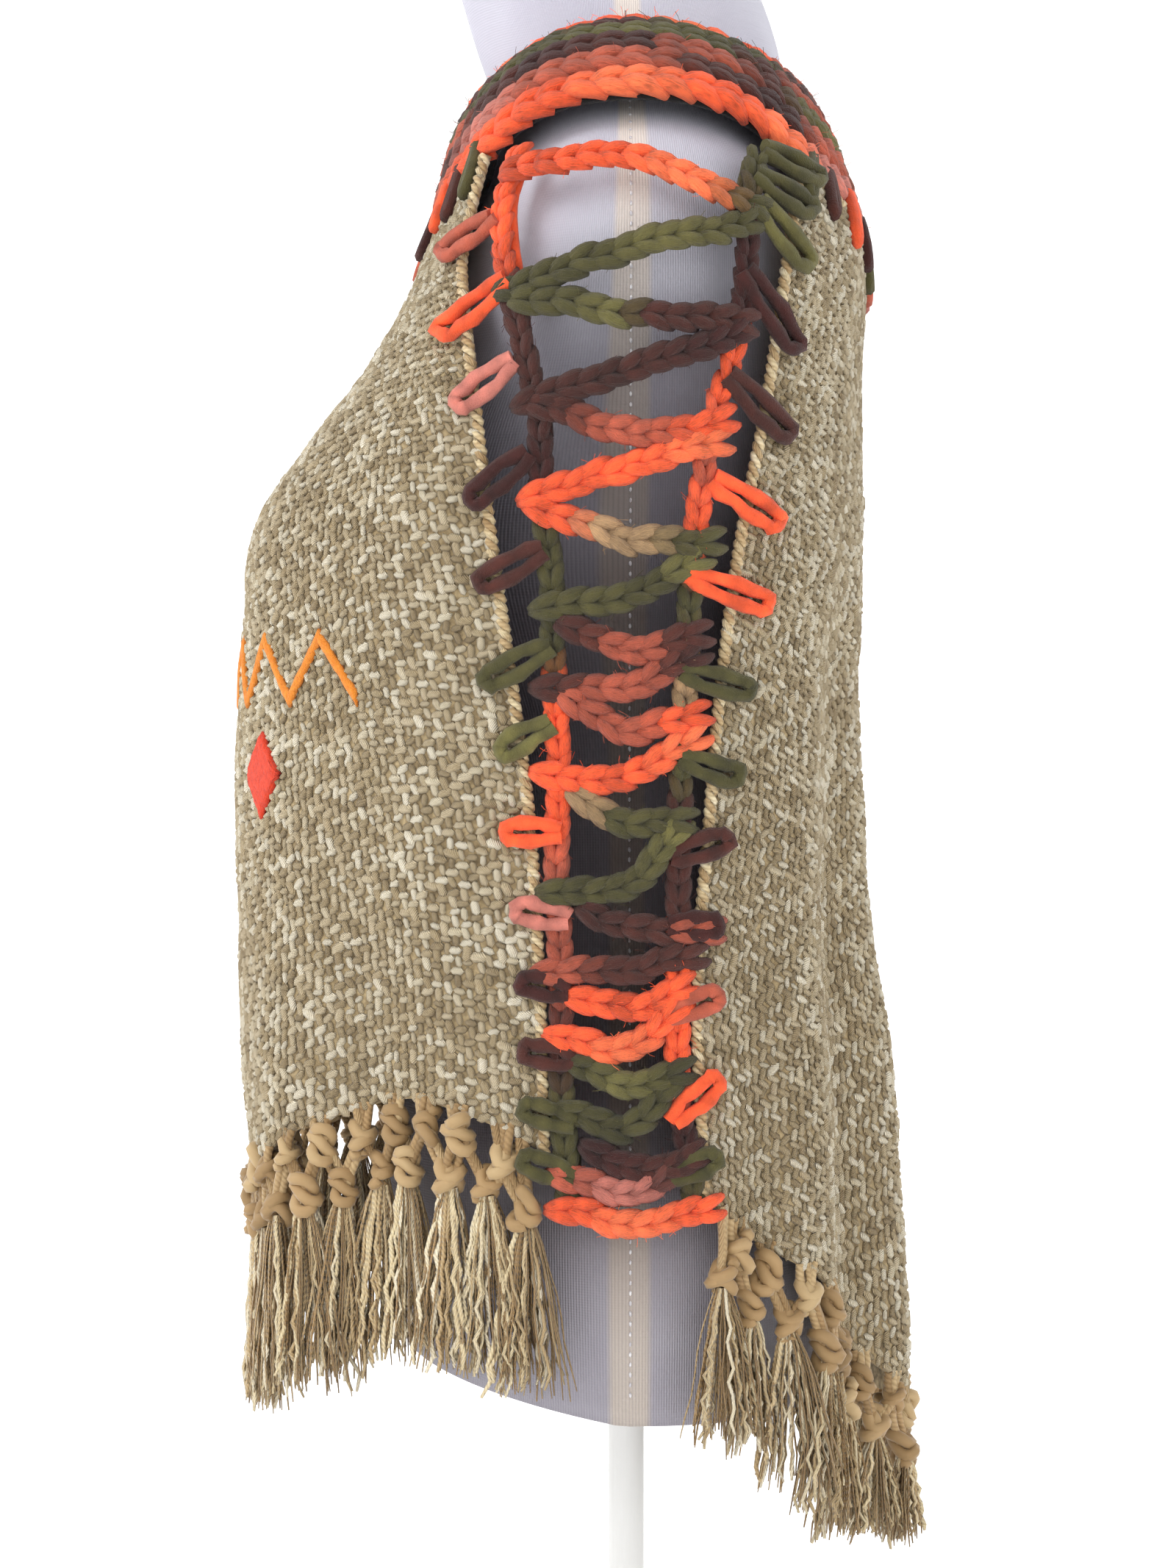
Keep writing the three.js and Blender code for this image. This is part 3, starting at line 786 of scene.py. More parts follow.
def jersey_finish():
    """A white stretch jersey with fine upright ribs, whose grooves are darkened as painted shade, a paler
    stripe of painted reflection beside each side seam, and painted shade that darkens the cover below about
    0.68 m, most between 0.28 and 0.5 m, under the poncho.
    """
    finish = Finish("ribbed jersey", Roughness=0.75, Sheen_Weight=0.12, Sheen_Roughness=0.4)
    place = finish.place()
    turn, up = finish.across()
    ribs = finish.wave(turn * RIBS_ROUND)
    rows = finish.wave(up * ROWS_PER_METRE)
    cloud = finish.noise(place, 9, 3)
    white = finish.ramp(cloud, [(0.35, srgb("C2C0CE")), (0.65, srgb("D2D1DC"))])
    # painted reflection: a paler beige stripe, E4DAD2, just behind each side seam, standing in for light
    # reflected off the form's side
    from_seam = (turn - 0.25).apply("PINGPONG", 0.5)
    band = finish.ramp(from_seam, [(0.0, (1, 1, 1)), (0.008, (1, 1, 1)), (0.011, (0, 0, 0))])
    seam_reflection_and_shade = finish.blend("MIX", band, white, (*srgb("E4DAD2"), 1))
    # painted shade: the cover is darkened by its height, most between 0.28 and 0.5 m, for the shade inside
    # the poncho
    height = finish.add("ShaderNodeSeparateXYZ", {}, {0: place}).other("Z")
    stops = [
        (0.20, (0.62, 0.6, 0.58)),
        (0.28, (0.3, 0.27, 0.26)),
        (0.50, (0.26, 0.24, 0.24)),
        (0.60, (0.5, 0.49, 0.5)),
        (0.68, (1, 1, 1)),
    ]
    seam_reflection_and_shade = finish.blend("MULTIPLY", 1.0, seam_reflection_and_shade, finish.ramp(height, stops))
    # painted shade: the rib grooves are darkened in colour as well as bumped
    lines = finish.ramp(ribs, [(0.0, (0.82, 0.82, 0.84)), (0.6, (1, 1, 1))])
    finish.feed("Base Color", finish.blend("MULTIPLY", 0.9, seam_reflection_and_shade, lines))
    finish.feed("Normal", finish.bump(ribs * 0.8 + rows * 0.3, 0.0004, 0.6))
    return finish.material


def felt_finish(name, low, high):
    """Needle-felted wool: a matted surface with tangled fibres."""
    finish = Finish(name, Roughness=0.95, Sheen_Weight=0.15, Sheen_Roughness=0.4)
    place = finish.place()
    mat = finish.noise(place, 420, 4, 0.7)
    fibres = finish.noise(finish.stretch(place, (1.0, 2.6, 0.7)), 1100, 3, 0.7)
    finish.feed("Base Color", finish.ramp(mat * 0.6 + fibres * 0.4, [(0.35, low), (0.62, high)]))
    finish.feed("Normal", finish.bump(mat + fibres * 0.7, 0.0012, 1.0))
    return finish.material


def stitch_finish():
    finish = Finish("seam thread", Roughness=0.6)
    tones = finish.ramp(finish.noise(finish.place(), 500), [(0.4, srgb("C9C6CC")), (0.6, srgb("F4F2F4"))])
    finish.feed("Base Color", tones)
    return finish.material


def paint_finish():
    """Satin white paint on steel, a little uneven."""
    finish = Finish("white paint", Coat_Weight=0.2)
    place = finish.place()
    tones = [(0.4, srgb("E9E9E6")), (0.6, srgb("F3F3F1"))]
    finish.feed("Base Color", finish.ramp(finish.noise(place, 6, 3), tones))
    finish.feed("Roughness", 0.36 + finish.noise(place, 30, 3) * 0.12)
    finish.feed("Normal", finish.bump(finish.noise(place, 400, 2), 0.00005, 0.5))
    return finish.material


# --- Woven panels ---

THREAD_PITCH = 4.35
PANEL_WIDTH = 464
EDGE_TRIM = 0.002


def woven_panel(panel, length, finish):
    """The ground cloth of a panel, as a thin shell."""
    shares = np.linspace(-1 + EDGE_TRIM, 1 - EDGE_TRIM, 97) * panel.sense
    ups = np.linspace(0, 1, 81)
    share, up = np.meshgrid(shares, ups)
    z = panel.woven(share, up)
    outer, outward = panel.at(share, z, -0.9)
    inner = outer - outward * WOVEN_THICKNESS
    uv = np.stack([share * PANEL_WIDTH / 2 / THREAD_PITCH, up * length / THREAD_PITCH], -1)
    return wall(f"woven_{panel.name}", outer, inner, uv, finish)


def float_shape():
    """One float, a grain a unit long, wide and thick: two square rings between two points."""
    rings = [(x, y / 2, z / 2) for x in (-0.24, 0.24) for y, z in ((1, 0), (0, 1), (-1, 0), (0, -1))]
    points = np.array([(-0.5, 0, 0), (0.5, 0, 0)] + rings)
    faces = []
    for c in range(4):
        n = (c + 1) % 4
        faces += [(2 + n, 2 + c, 0), (2 + c, 2 + n, 6 + n, 6 + c), (6 + c, 6 + n, 1)]
    uv = np.column_stack([points[:, 0] + 0.5, points[:, 1] + 0.5])
    return new_object("float_shape", points, faces, uv=uv)


def floats(panel, length, shape, tree, finish):
    """The floats of a plain weave on a panel: weft and warp come up in turn."""
    columns = int(PANEL_WIDTH / THREAD_PITCH)
    rows = int(length / THREAD_PITCH)
    column, row = np.meshgrid(np.arange(columns), np.arange(rows))
    column, row = column.ravel(), row.ravel()
    share = (column + 0.5) / columns * 2 - 1
    up = (row + 0.5) / rows
    share = np.clip(share + chance.normal(0, 0.0014, share.size), -0.996, 0.996)
    up = np.clip(up + chance.normal(0, 0.0006, up.size), 0.003, 0.997)
    z = panel.woven(share, up)
    points, outward = panel.at(share, z, -0.55)
    step = 0.004
    beside, _ = panel.at(share + step, panel.woven(share + step, up))
    above, _ = panel.at(share, panel.woven(share, up + step))
    weft = unit(beside - panel.at(share, z)[0])
    warp = unit(above - panel.at(share, z)[0])
    over = ((column + row) % 2 == 0)[:, None]
    along = np.where(over, weft, warp)
    tilt = chance.normal(0, 0.22, (share.size, 1))
    along = unit(along + np.where(over, warp, -weft) * (tilt + 0.28))
    squeeze = (panel.width(z) * 2 / PANEL_WIDTH)[:, None]
    swell = chance.normal(1, 0.12, (share.size, 1)).clip(0.7, 1.35)
    size = np.column_stack([6.8 * swell, 3.2 * swell * squeeze, 3.1 * swell])
    tone = chance.beta(1.5, 1.9, share.size)
    tone = np.where(chance.random(share.size) < 0.16, 1.0, tone)
    guide = new_object(
        "guide",
        points,
        attributes={"out": outward, "along": along, "size": size, "tone": tone},
    )
    return tree.run(f"floats_{panel.name}", guide, Shape=shape, Finish=finish, Turn=0.1, Swell=0.1, Seed=3)


def selvedge(panel, strands, finish):
    """The twisted cord along both side edges of a panel, and along its top."""
    lines = Lines()
    turns_mm, radius = 8.0, 1.5

    def cord(points, outward):
        lengths = np.concatenate([[0], np.cumsum(np.linalg.norm(np.diff(points, axis=0), axis=1))])
        count = int(lengths[-1] / turns_mm * 6)
        at = np.linspace(0, lengths[-1], count)
        line = np.column_stack([np.interp(at, lengths, points[:, i]) for i in range(3)])
        out = unit(np.column_stack([np.interp(at, lengths, outward[:, i]) for i in range(3)]))
        run = unit(np.gradient(line, axis=0))
        side = np.cross(run, out)
        for start in (0, math.pi):
            angle = at / turns_mm * FULL_TURN + start
            ply = line + out * np.sin(angle)[:, None] * radius * 0.8 + side * np.cos(angle)[:, None] * radius
            tone = 0.6 + 0.15 * np.sin(at * 0.13 + start) + chance.normal(0, 0.08, count)
            lines.add(ply, thick=1.5 * MM, tone=tone)

    for share in (-1, 1):
        ups = np.linspace(0, 1, 90)
        cord(*panel.at(share * 0.997, panel.woven(share, ups), -0.6))
    shares = np.linspace(-0.99, 0.99, 90)
    cord(*panel.at(shares, panel.woven(shares, 0.997), -0.6))
    return strands.run(f"selvedge_{panel.name}", lines.guide(), Finish=finish, Sides=5)


# --- Crochet ---

STITCH_PITCH = 8.4


def stitch_shape():
    """One chain stitch, a V: each leg rises from inside the last stitch, spreads and dips under the next."""
    t = np.linspace(0, 1, 7)
    legs = []
    for side in (-1, 1):
        x = STITCH_PITCH * (1.75 * t - 0.85)
        y = side * (0.9 + 2.5 * smoothstep(t, 0, 0.85))
        z = -2.2 + 4.0 * np.sin(math.pi * t**0.9) ** 0.7
        radii = 2.9 * (0.45 + 0.55 * np.sin(math.pi * t**0.9) ** 0.6)
        legs.append(tube(np.column_stack([x, y, z]), radii, 6, flat=0.95))
    return shape_of_tubes("stitch_shape", legs)


def fuzz(hairs, points, outward, dyes, count, reach):
    """Loose fibres that stand off a chain."""
    t = np.linspace(0, 1, 4)[:, None]
    for i in chance.integers(1, len(points) - 1, count):
        run = unit(points[i + 1] - points[i - 1])
        angle = chance.uniform(0, math.pi)
        away = np.cross(run, outward[i]) * math.cos(angle) + outward[i] * math.sin(angle)
        start = points[i] + run * chance.normal(0, 2) + away * reach * 0.65
        line = start + away * t * reach * chance.uniform(0.4, 0.9) + run * chance.normal(0, 2.6) * t**2
        hairs.add(line, thick=0.11 * MM, dye=dyes[i] * 1.2)


# Where each rung starts, bends and ends, as Y and Z on the side of the body, and its dyes from front to back.
RUNGS = [
    # front_y front_z, mid_y mid_z, back_y back_z, dyes
    (-42, 677, 4, 679, 54, 659, "orange orange flame olive"),
    (-45, 626, 6, 644, 50, 653, "olive olive moss olive"),
    (-38, 623, 6, 617, 48, 615, "olive moss brown brown"),
    (-37, 582, 2, 595, 46, 609, "brown brown maroon"),
    (-32, 581, 4, 570, 39, 574, "brown rust orange"),
    (-34, 545, 2, 556, 37, 567, "orange orange flame"),
    (-32, 540, 2, 528, 34, 527, "orange tan olive"),
    (-29, 502, 0, 504, 29, 519, "olive olive moss"),
    (-20, 493, 4, 484, 29, 490, "brown rust brown"),
    (-29, 469, 3, 469, 28, 482, "brown rust brown"),
    (-20, 465, 2, 451, 29, 458, "rust rust orange"),
    (-29, 433, 2, 433, 29, 450, "orange orange flame"),
    (-16, 424, 2, 415, 23, 416, "tan olive olive"),
    (-27, 386, 3, 390, 21, 411, "olive olive moss"),
    (-12, 377, 12, 372, 34, 371, "brown brown rust"),
    (-29, 355, 2, 356, 28, 362, "rust brown brown"),
    (-16, 345, 3, 340, 24, 348, "orange orange"),
    (-24, 328, 3, 325, 21, 339, "orange flame orange"),
    (-16, 317, 4, 309, 23, 314, "olive moss olive"),
    (-20, 298, 0, 291, 18, 307, "olive olive"),
    (-10, 282, 8, 276, 28, 279, "maroon brown"),
    (-23, 273, 4, 266, 24, 276, "rust pink brown"),
    (-23, 259, 4, 253, 34, 259, "orange flame orange"),
]
# The loops that hook over the woven edges: the post's Y and Z, the tip's, and the dye.
HOOKS = [
    (-54, 656, -70, 647, "rust"),
    (-48, 628, -71, 611, "orange"),
    (-46, 596, -64, 581, "pink"),
    (-40, 559, -59, 543, "maroon"),
    (-35, 521, -56, 510, "brown"),
    (-32, 483, -54, 471, "olive"),
    (-32, 452, -48, 443, "moss"),
    (-29, 411, -46, 411, "orange"),
    (-26, 377, -42, 380, "pink"),
    (-26, 348, -40, 351, "maroon"),
    (-24, 320, -39, 323, "brown"),
    (-24, 295, -39, 300, "olive"),
    (-23, 273, -39, 279, "olive"),
    (61, 684, 79, 677, "olive"),
    (57, 672, 75, 662, "olive"),
    (57, 659, 73, 640, "moss"),
    (51, 631, 68, 606, "maroon"),
    (45, 590, 65, 571, "brown"),
    (40, 549, 61, 535, "orange"),
    (31, 512, 57, 502, "orange"),
    (28, 474, 50, 468, "olive"),
    (28, 439, 46, 433, "olive"),
    (24, 402, 42, 408, "brown"),
    (24, 373, 38, 373, "maroon"),
    (24, 339, 38, 345, "rust"),
    (24, 298, 38, 311, "orange"),
    (24, 274, 38, 280, "olive"),
]
POSTS = Table("z front back", [
    (256, -21, 30),
    (276, -22, 28),
    (307, -24, 23),
    (348, -24, 23),
    (399, -26, 23),
    (433, -25, 24),
    (474, -27, 26),
    (512, -28, 28),
    (549, -32, 32),
    (578, -33, 37),
    (603, -39, 45),
    (637, -46, 50),
    (660, -48, 51),
    (684, -42, 55),
])
POST_DYES = {
    "front": "olive olive brown rust rust orange orange olive olive maroon brown brown orange orange",
    "back": "olive maroon orange orange brown brown olive tan olive orange rust orange maroon maroon olive",
}


def lace(hand, name, stitch, chains, strands, finish):
    """The side lacing: zigzag rungs of chain between two posts, and loops that hook over the woven edges."""
    lines, thin, hairs = Lines(), Lines(), Lines()

    def along(ys, zs, count, out, dyes, size, target=lines):
        route = smooth_line(np.column_stack([ys, zs]), count)
        wave = chance.normal(0, 0.7, count)
        points, outward = side_point(hand, route[:, 0], route[:, 1] + wave, out)
        if target is lines:
            colours = dyed(dyes, count)
            target.add(points, out=outward, dye=colours, size=size)
            fuzz(hairs, points, outward, colours, 26 if count < 30 else 90, 5.4)
        else:
            target.add(points, thick=size, dye=dyed(dyes, count))

    for front_y, front_z, mid_y, mid_z, back_y, back_z, dyes in RUNGS:
        low, high = (0, 0) if hand > 0 else chance.normal(0, 3, 2)
        zs = (front_z + low, mid_z + high, back_z - low)
        along((front_y, mid_y, back_y), zs, 16, 1.5, dyes.split(), 1.06)
    for end in ("front", "back"):
        zs = np.linspace(260, 684, 24)
        ys = POSTS.at(end, zs)
        dyes = POST_DYES[end].split()
        along(ys, zs, 90, -0.5, dyes, 0.95)
        along(ys + chance.normal(0, 1.6, 24), zs, 90, -5.0, dyes, 2.3 * MM, target=thin)
    for post_y, post_z, tip_y, tip_z, dye in HOOKS:
        run = unit(np.array([tip_y - post_y, tip_z - post_z], float))
        side = np.array([-run[1], run[0]])
        start, tip = np.array([post_y, post_z], float) - run * 5, np.array([tip_y, tip_z], float)
        width = 3.2
        turn = np.linspace(-math.pi / 2, math.pi / 2, 7)
        bow = tip - run * width + np.outer(np.cos(turn), run) * width + np.outer(np.sin(turn), side) * width
        spread = np.array([0.45, 0.8, 1.05, 1.1, 1.05])[:, None] * side * width
        reach = np.outer(np.linspace(0, 0.84, 5), tip - run * width - start)
        route = np.concatenate([start - spread + reach, bow, (start + spread + reach)[::-1]])
        route += chance.normal(0, 0.35, route.shape)
        lift = 2.2 + 2.2 * np.sin(np.linspace(0, math.pi, len(route)))
        points, outward = side_point(hand, route[:, 0], route[:, 1], lift)
        thick = 2.95 + 0.4 * np.sin(np.arange(len(route)) * 2.1)
        thin.add(points, thick=(thick * MM)[:, None], dye=dyed([dye], len(route)))
    chain = chains.run(f"{name}_chains", lines.guide(), Shape=stitch, Finish=finish,
                       Pitch=STITCH_PITCH * MM, Turn=0.22, Seed=5)
    loops = strands.run(f"{name}_loops", thin.guide(), Finish=finish, Sides=7)
    loose = strands.run(f"{name}_fuzz", hairs.guide(), Finish=finish, Sides=3)
    return chain, loops, loose


class Yoke:
    """The yoke's outer face. Turn runs round the neck from the centre front, up from the rim to the neck."""

    COUNT = 240

    def __init__(self):
        front_corner = self.corner(FRONT_EDGES, "front")
        back_corner = self.corner(BACK_EDGES, "back")
        front_z, back_z = float(FRONT_EDGES.at("top", 1)), float(BACK_EDGES.at("top", 1))
        rim = []
        for turn in np.arange(self.COUNT) / self.COUNT:
            hand, half = (-1, 1 - turn) if turn > 0.5 else (1, turn)
            if half < front_corner:
                share = hand * half / front_corner
                rim.append(FRONT.at(share, FRONT_EDGES.at("top", share))[0])
            elif half > back_corner:
                share = hand * (0.5 - half) / (0.5 - back_corner)
                rim.append(BACK.at(share, BACK_EDGES.at("top", share))[0])
            else:
                share = (half - front_corner) / (back_corner - front_corner)
                z = front_z + (back_z - front_z) * share + SHOULDER_ARC * math.sin(math.pi * share)
                ends = [cloth_turn(z, SIDE_EDGES.at(end, z)) for end in ("front", "back")]
                point, _ = cloth_stretch(z, *ends, share)
                rim.append(point * (hand, 1, 1))
        self.rim = np.array(rim)

    @staticmethod
    def corner(edges, end):
        z = float(edges.at("top", 1))
        return float(cloth_turn(z, SIDE_EDGES.at(end, z)))

    def neck(self, turn):
        angle = turn * FULL_TURN
        forward = np.cos(angle)
        reach = np.where(forward > 0, NECK_EDGE["front"], NECK_EDGE["back"])
        end_z = np.where(forward > 0, NECK_EDGE["front_z"], NECK_EDGE["back_z"])
        x = NECK_EDGE["side"] * np.sin(angle)
        y = CLOTH_MID_Y + (reach - CLOTH_MID_Y) * np.abs(forward)
        z = NECK_EDGE["side_z"] + (end_z - NECK_EDGE["side_z"]) * forward**2
        return np.stack([x, y, z], -1)

    def at(self, turn, up):
        turn = np.asarray(turn, float) % 1
        up = np.asarray(up, float)
        place = turn * self.COUNT
        i = place.astype(int) % self.COUNT
        part = (place - place.astype(int))[..., None]
        rim = self.rim[i] * (1 - part) + self.rim[(i + 1) % self.COUNT] * part
        points = rim + (self.neck(turn) - rim) * up[..., None]
        points[..., 2] += YOKE_BULGE * np.sin(math.pi * up)
        return points

    def out(self, turn, up):
        step = 0.004
        across = self.at(turn + step, up) - self.at(turn - step, up)
        rise = self.at(turn, up + step) - self.at(turn, up - step)
        return unit(np.cross(across, rise))


# The yoke's rounds from the rim to the neck, with their dyes round from the centre front.
ROUNDS = [
    "maroon rust orange orange flame orange flame pink rust "
    "maroon brown rust orange orange orange flame brown",
    "rust brown pink rust rust brown maroon rust olive "
    "maroon brown rust pink brown maroon rust rust",
    "olive rust brown maroon brown rust brown moss olive "
    "rust olive brown maroon brown brown olive olive",
    "brown olive olive olive moss olive brown rust orange "
    "olive brown olive olive moss olive rust brown",
    "rust maroon brown olive brown olive olive brown pink "
    "orange rust brown olive brown olive maroon rust",
    "brown orange flame orange orange flame orange rust brown "
    "brown maroon orange orange flame orange orange brown",
]
# Loops that hook over the panels' top edges: how many on each, and how far down they reach.
TOP_HOOKS = {"front": 13, "back": 13}


def yoke(stitch, chains, strands, band_finish, finish):
    """The rounds of the yoke on a thin band, and the loops that join it to the panels."""
    surface = Yoke()
    turns = np.arange(0, 1, 1 / 160)
    ups = np.linspace(0.03, 0.97, 9)
    turn, up = np.meshgrid(turns, ups)
    outward = surface.out(turn, up)
    outer = surface.at(turn, up) - outward * 3.2
    band = wall("yoke_band", outer, outer - outward * 2.2, np.stack([turn, up], -1), band_finish, ring=True)
    lines, thin, hairs = Lines(), Lines(), Lines()
    turns = np.arange(0, 1, 1 / 150)
    for k, dyes in enumerate(ROUNDS):
        up = (k + 0.5) / len(ROUNDS) + 0.012 * np.sin(turns * FULL_TURN * 5 + k)
        outward = surface.out(turns, up)
        points = surface.at(turns, up) - outward * 1.5
        colours = dyed(dyes.split() + dyes.split()[:1], len(turns))
        lines.add(points, closed=True, out=outward, dye=colours, size=1.42)
        fuzz(hairs, points, outward, colours, 130, 6.5)
    for panel in (FRONT, BACK):
        count = TOP_HOOKS[panel.name]
        for k in range(count):
            share = -0.95 + 1.9 * k / (count - 1) + chance.normal(0, 0.012)
            top = float(panel.edges.at("top", share))
            reach = 12 + chance.normal(0, 2)
            half = 3.0 / 225
            drop = np.array([6, 2, -4, -9, -reach, -reach - 3, -reach, -9, -4, 2, 6])
            side = np.array([-1, -1, -1, -1, -0.8, 0, 0.8, 1, 1, 1, 1]) * half
            points, outward = panel.at(share + side, np.minimum(top + drop, 711), 2.2)
            dye = ["rust", "olive", "maroon", "orange", "brown", "olive", "pink"][k % 7]
            thin.add(points, thick=2.7 * MM, dye=dyed([dye], len(points)))
    rounds = chains.run("yoke_rounds", lines.guide(), Shape=stitch, Finish=finish,
                        Pitch=12.0 * MM, Turn=0.14, Seed=8)
    hooks = strands.run("yoke_hooks", thin.guide(), Finish=finish, Sides=7)
    loose = strands.run("yoke_fuzz", hairs.guide(), Finish=finish, Sides=3)
    return band, rounds, hooks, loose


# --- Fringe ---

KNOT_PITCH = 17.0
TIP_TRIM = {"front": 3, "back": 11}  # the tassels end this far above the fringe solid's edge
KNOT_ROWS = (10.0, 27.0)  # how far the two rows of knots lie below the woven edge
HEM_END = 0.965  # the last knots' share of the way from the middle of a hem to its end
UPWARD = [0.0, 0.0, 1.0]
# a tassel's crimped cream strands, and its thin tan ones
STRANDS = [
    {"number": 18, "points": 12, "wave": 1.5, "bends": (3.5, 6.5), "thick": 1.05, "tone": (0.55, 0.95)},
    {"number": 42, "points": 8, "wave": 0.8, "bends": (1, 2.2), "thick": 0.5, "tone": (0.12, 0.6)},
]


def knot_shape():
    """An overhand knot of a bundle of strands, about 14 mm wide."""
    t = np.linspace(0, 1, 34)
    angle = t * FULL_TURN * 2.4
    radius = 4.1 + 0.9 * np.sin(angle * 1.5)
    z = 5.2 - 10.4 * t + 2.4 * np.sin(angle * 1.25)
    points = np.column_stack([radius * np.cos(angle), radius * 0.8 * np.sin(angle), z])
    wound = tube(points, np.full(34, 2.7), 6)
    core = tube([(0, 0, 7), (0, 0, 3), (0.3, 0, -3), (0, 0, -7)], [2.4, 3.8, 3.8, 2.6], 6)
    return shape_of_tubes("knot_shape", [wound, core])


def knot_row(panel):
    """The two rows' knots: their places, the directions out and across at each, and their shares."""
    count = int(2 * panel.width(panel.edges.at("bottom", 0)) * HEM_END / KNOT_PITCH)
    step = 2 * HEM_END / count
    upper = -HEM_END + step * (np.arange(count) + 0.5) + chance.normal(0, 0.004, count)
    lower = -HEM_END + step * np.arange(count + 1) + chance.normal(0, 0.006, count + 1)
    drop = [row + chance.normal(0, 1.6, len(shares)) for row, shares in zip(KNOT_ROWS, (upper, lower))]
    share = np.clip(np.concatenate([upper, lower]), -0.985, 0.985)
    z = panel.edges.at("bottom", share) - np.concatenate(drop)
    centres, outward = panel.at(share, z, -1.0)
    tangent = unit(np.cross(np.tile(UPWARD, (len(share), 1)), outward))
    return count, upper, lower, share, centres, outward, tangent


def knots(panel, shape, placed, finish, centres, outward, tangent):
    spin = chance.random(len(centres)) * FULL_TURN
    along = tangent * np.cos(spin)[:, None] + outward * np.sin(spin)[:, None]
    upright = unit(np.tile(UPWARD, (len(centres), 1)) + chance.normal(0, 0.16, (len(centres), 3)))
    size = np.tile(chance.normal(0.98, 0.07, (len(centres), 1)), (1, 3))
    tone = chance.uniform(0.1, 0.55, len(centres))
    attributes = {"out": upright, "along": along, "size": size, "tone": tone}
    guide = new_object("guide", centres, attributes=attributes)
    name = f"knots_{panel.name}"
    return placed.run(name, guide, Shape=shape, Finish=finish, Turn=0.3, Swell=0.05, Seed=9)


def net(panel, strands, finish, count, upper, lower, centres, tangent):
    """The bundles that run from the hem to the knots of the first row, and on to those of the second."""
    legs = Lines()

    def leg(start, end):
        middle = (start + end) / 2 + chance.normal(0, 0.8, 3)
        legs.add(smooth_line([start, middle, end], 6), thick=1.9 * MM, tone=chance.uniform(0.1, 0.6))

    tops, bottoms = centres[:count], centres[count:]
    hem, _ = panel.at(upper, panel.edges.at("bottom", upper) + 3, -1.5)
    for k in range(count):
        for shift in (-2.2, 0.0, 2.2):
            leg(hem[k] + tangent[k] * shift * 1.6, tops[k] + tangent[k] * shift * 0.5)
        for end in (k, k + 1):
            for shift in (-1.3, 1.3):
                leg(tops[k] + tangent[k] * shift, bottoms[end] + tangent[k] * shift)
    for k, end in ((0, 0), (count - 1, count)):
        corner, _ = panel.at(lower[end] * 0.995, panel.edges.at("bottom", lower[end]) + 2, -1.5)
        for shift in (-1.3, 1.3):
            leg(corner + tangent[k] * shift, bottoms[end] + tangent[k] * shift)
    return strands.run(f"net_{panel.name}", legs.guide(), Finish=finish, Sides=6)


def hair(kind, root, length, lean, out, across):
    """One strand of a tassel, which flares and waves as it hangs."""
    at = chance.uniform(-1, 1, 2)
    spread = (11.5 + 6 * chance.random()) * at[0]
    reach = length * chance.uniform(0.86, 1.03)
    t = np.linspace(0, 1, kind["points"])
    flare = t**0.75
    sideways = 2.6 * at[0] + (spread + lean * length) * flare
    line = root + np.outer(sideways, across) + np.outer(2.0 * at[1] + 4.5 * at[1] * flare - t, out)
    line[:, 2] = root[2] - 4 - reach * t
    phase = chance.uniform(0, 6.28, 2)
    bends = chance.uniform(*kind["bends"])
    sway = kind["wave"] * t**0.5
    line += np.outer(np.sin(t * bends * 6.28 + phase[0]) * sway, across)
    line += np.outer(np.cos(t * bends * 5.1 + phase[1]) * sway * 0.8, out)
    thick = np.full(len(t), kind["thick"] * chance.uniform(0.8, 1.2) * MM)
    thick[-1] *= 0.6
    return line, thick, chance.uniform(*kind["tone"])


def fringe(panel, shape, placed, strands, finish):
    """Two netted rows of knots under the woven hem, and a tassel under each knot of the lower row."""
    count, upper, lower, share, centres, outward, tangent = knot_row(panel)
    bundle = knots(panel, shape, placed, finish, centres, outward, tangent)
    mesh = net(panel, strands, finish, count, upper, lower, centres, tangent)
    hairs = Lines()
    for k in range(count, 2 * count + 1):
        tip_z = float(panel.edges.at("tips", share[k])) + TIP_TRIM[panel.name] + chance.normal(0, 3)
        length = centres[k][2] - 5 - tip_z
        lean = chance.normal(0, 0.05)
        for kind in STRANDS:
            for _ in range(kind["number"]):
                line, thick, tone = hair(kind, centres[k], length, lean, outward[k], tangent[k])
                hairs.add(line, thick=thick, tone=tone)
    tassels = strands.run(f"tassels_{panel.name}", hairs.guide(), Finish=finish, Sides=3)
    return bundle, mesh, tassels


# --- Felt motifs ---

ZIGZAG = {"across": 168, "middle_z": 478, "swing": 13, "pitch": 42, "line": 6.5}
DIAMOND = {"half_width": 16, "half_height": 19, "z": 434}
DIAMONDS = {"felt_diamond_right": -104, "felt_diamond_middle": 0, "felt_diamond_left": 104}


def felt_pad(name, across, z, lift, finish):
    """A padded patch of felt over the front panel, from grids of places and of how far it stands out."""
    share = across / FRONT.width(z)
    outer, _ = FRONT.at(share, z, lift)
    inner, _ = FRONT.at(share, z, -0.4)
    return wall(name, outer, inner, np.stack([across, z], -1) * 0.01, finish)


def zigzag(finish):
    bends = round(2 * ZIGZAG["across"] / (ZIGZAG["pitch"] / 2))
    u, v = np.meshgrid(np.linspace(0, 1, bends * 12 + 1), np.linspace(-1, 1, 7))
    leg = u * bends
    tooth = 1 - np.abs(1 - leg % 2) * 2
    across = (2 * u - 1) * ZIGZAG["across"]
    ragged = 1 + 0.1 * np.sin(u * 310 + v) + 0.07 * np.sin(u * 143 + 2 * v)
    z = ZIGZAG["middle_z"] + ZIGZAG["swing"] * tooth + v * ZIGZAG["line"] / 2 * ragged
    lift = 1.0 + 1.0 * (1 - v**2) + 0.12 * np.sin(u * 530 + 7 * v)
    return felt_pad("zigzag_felt", across, z, lift, finish)


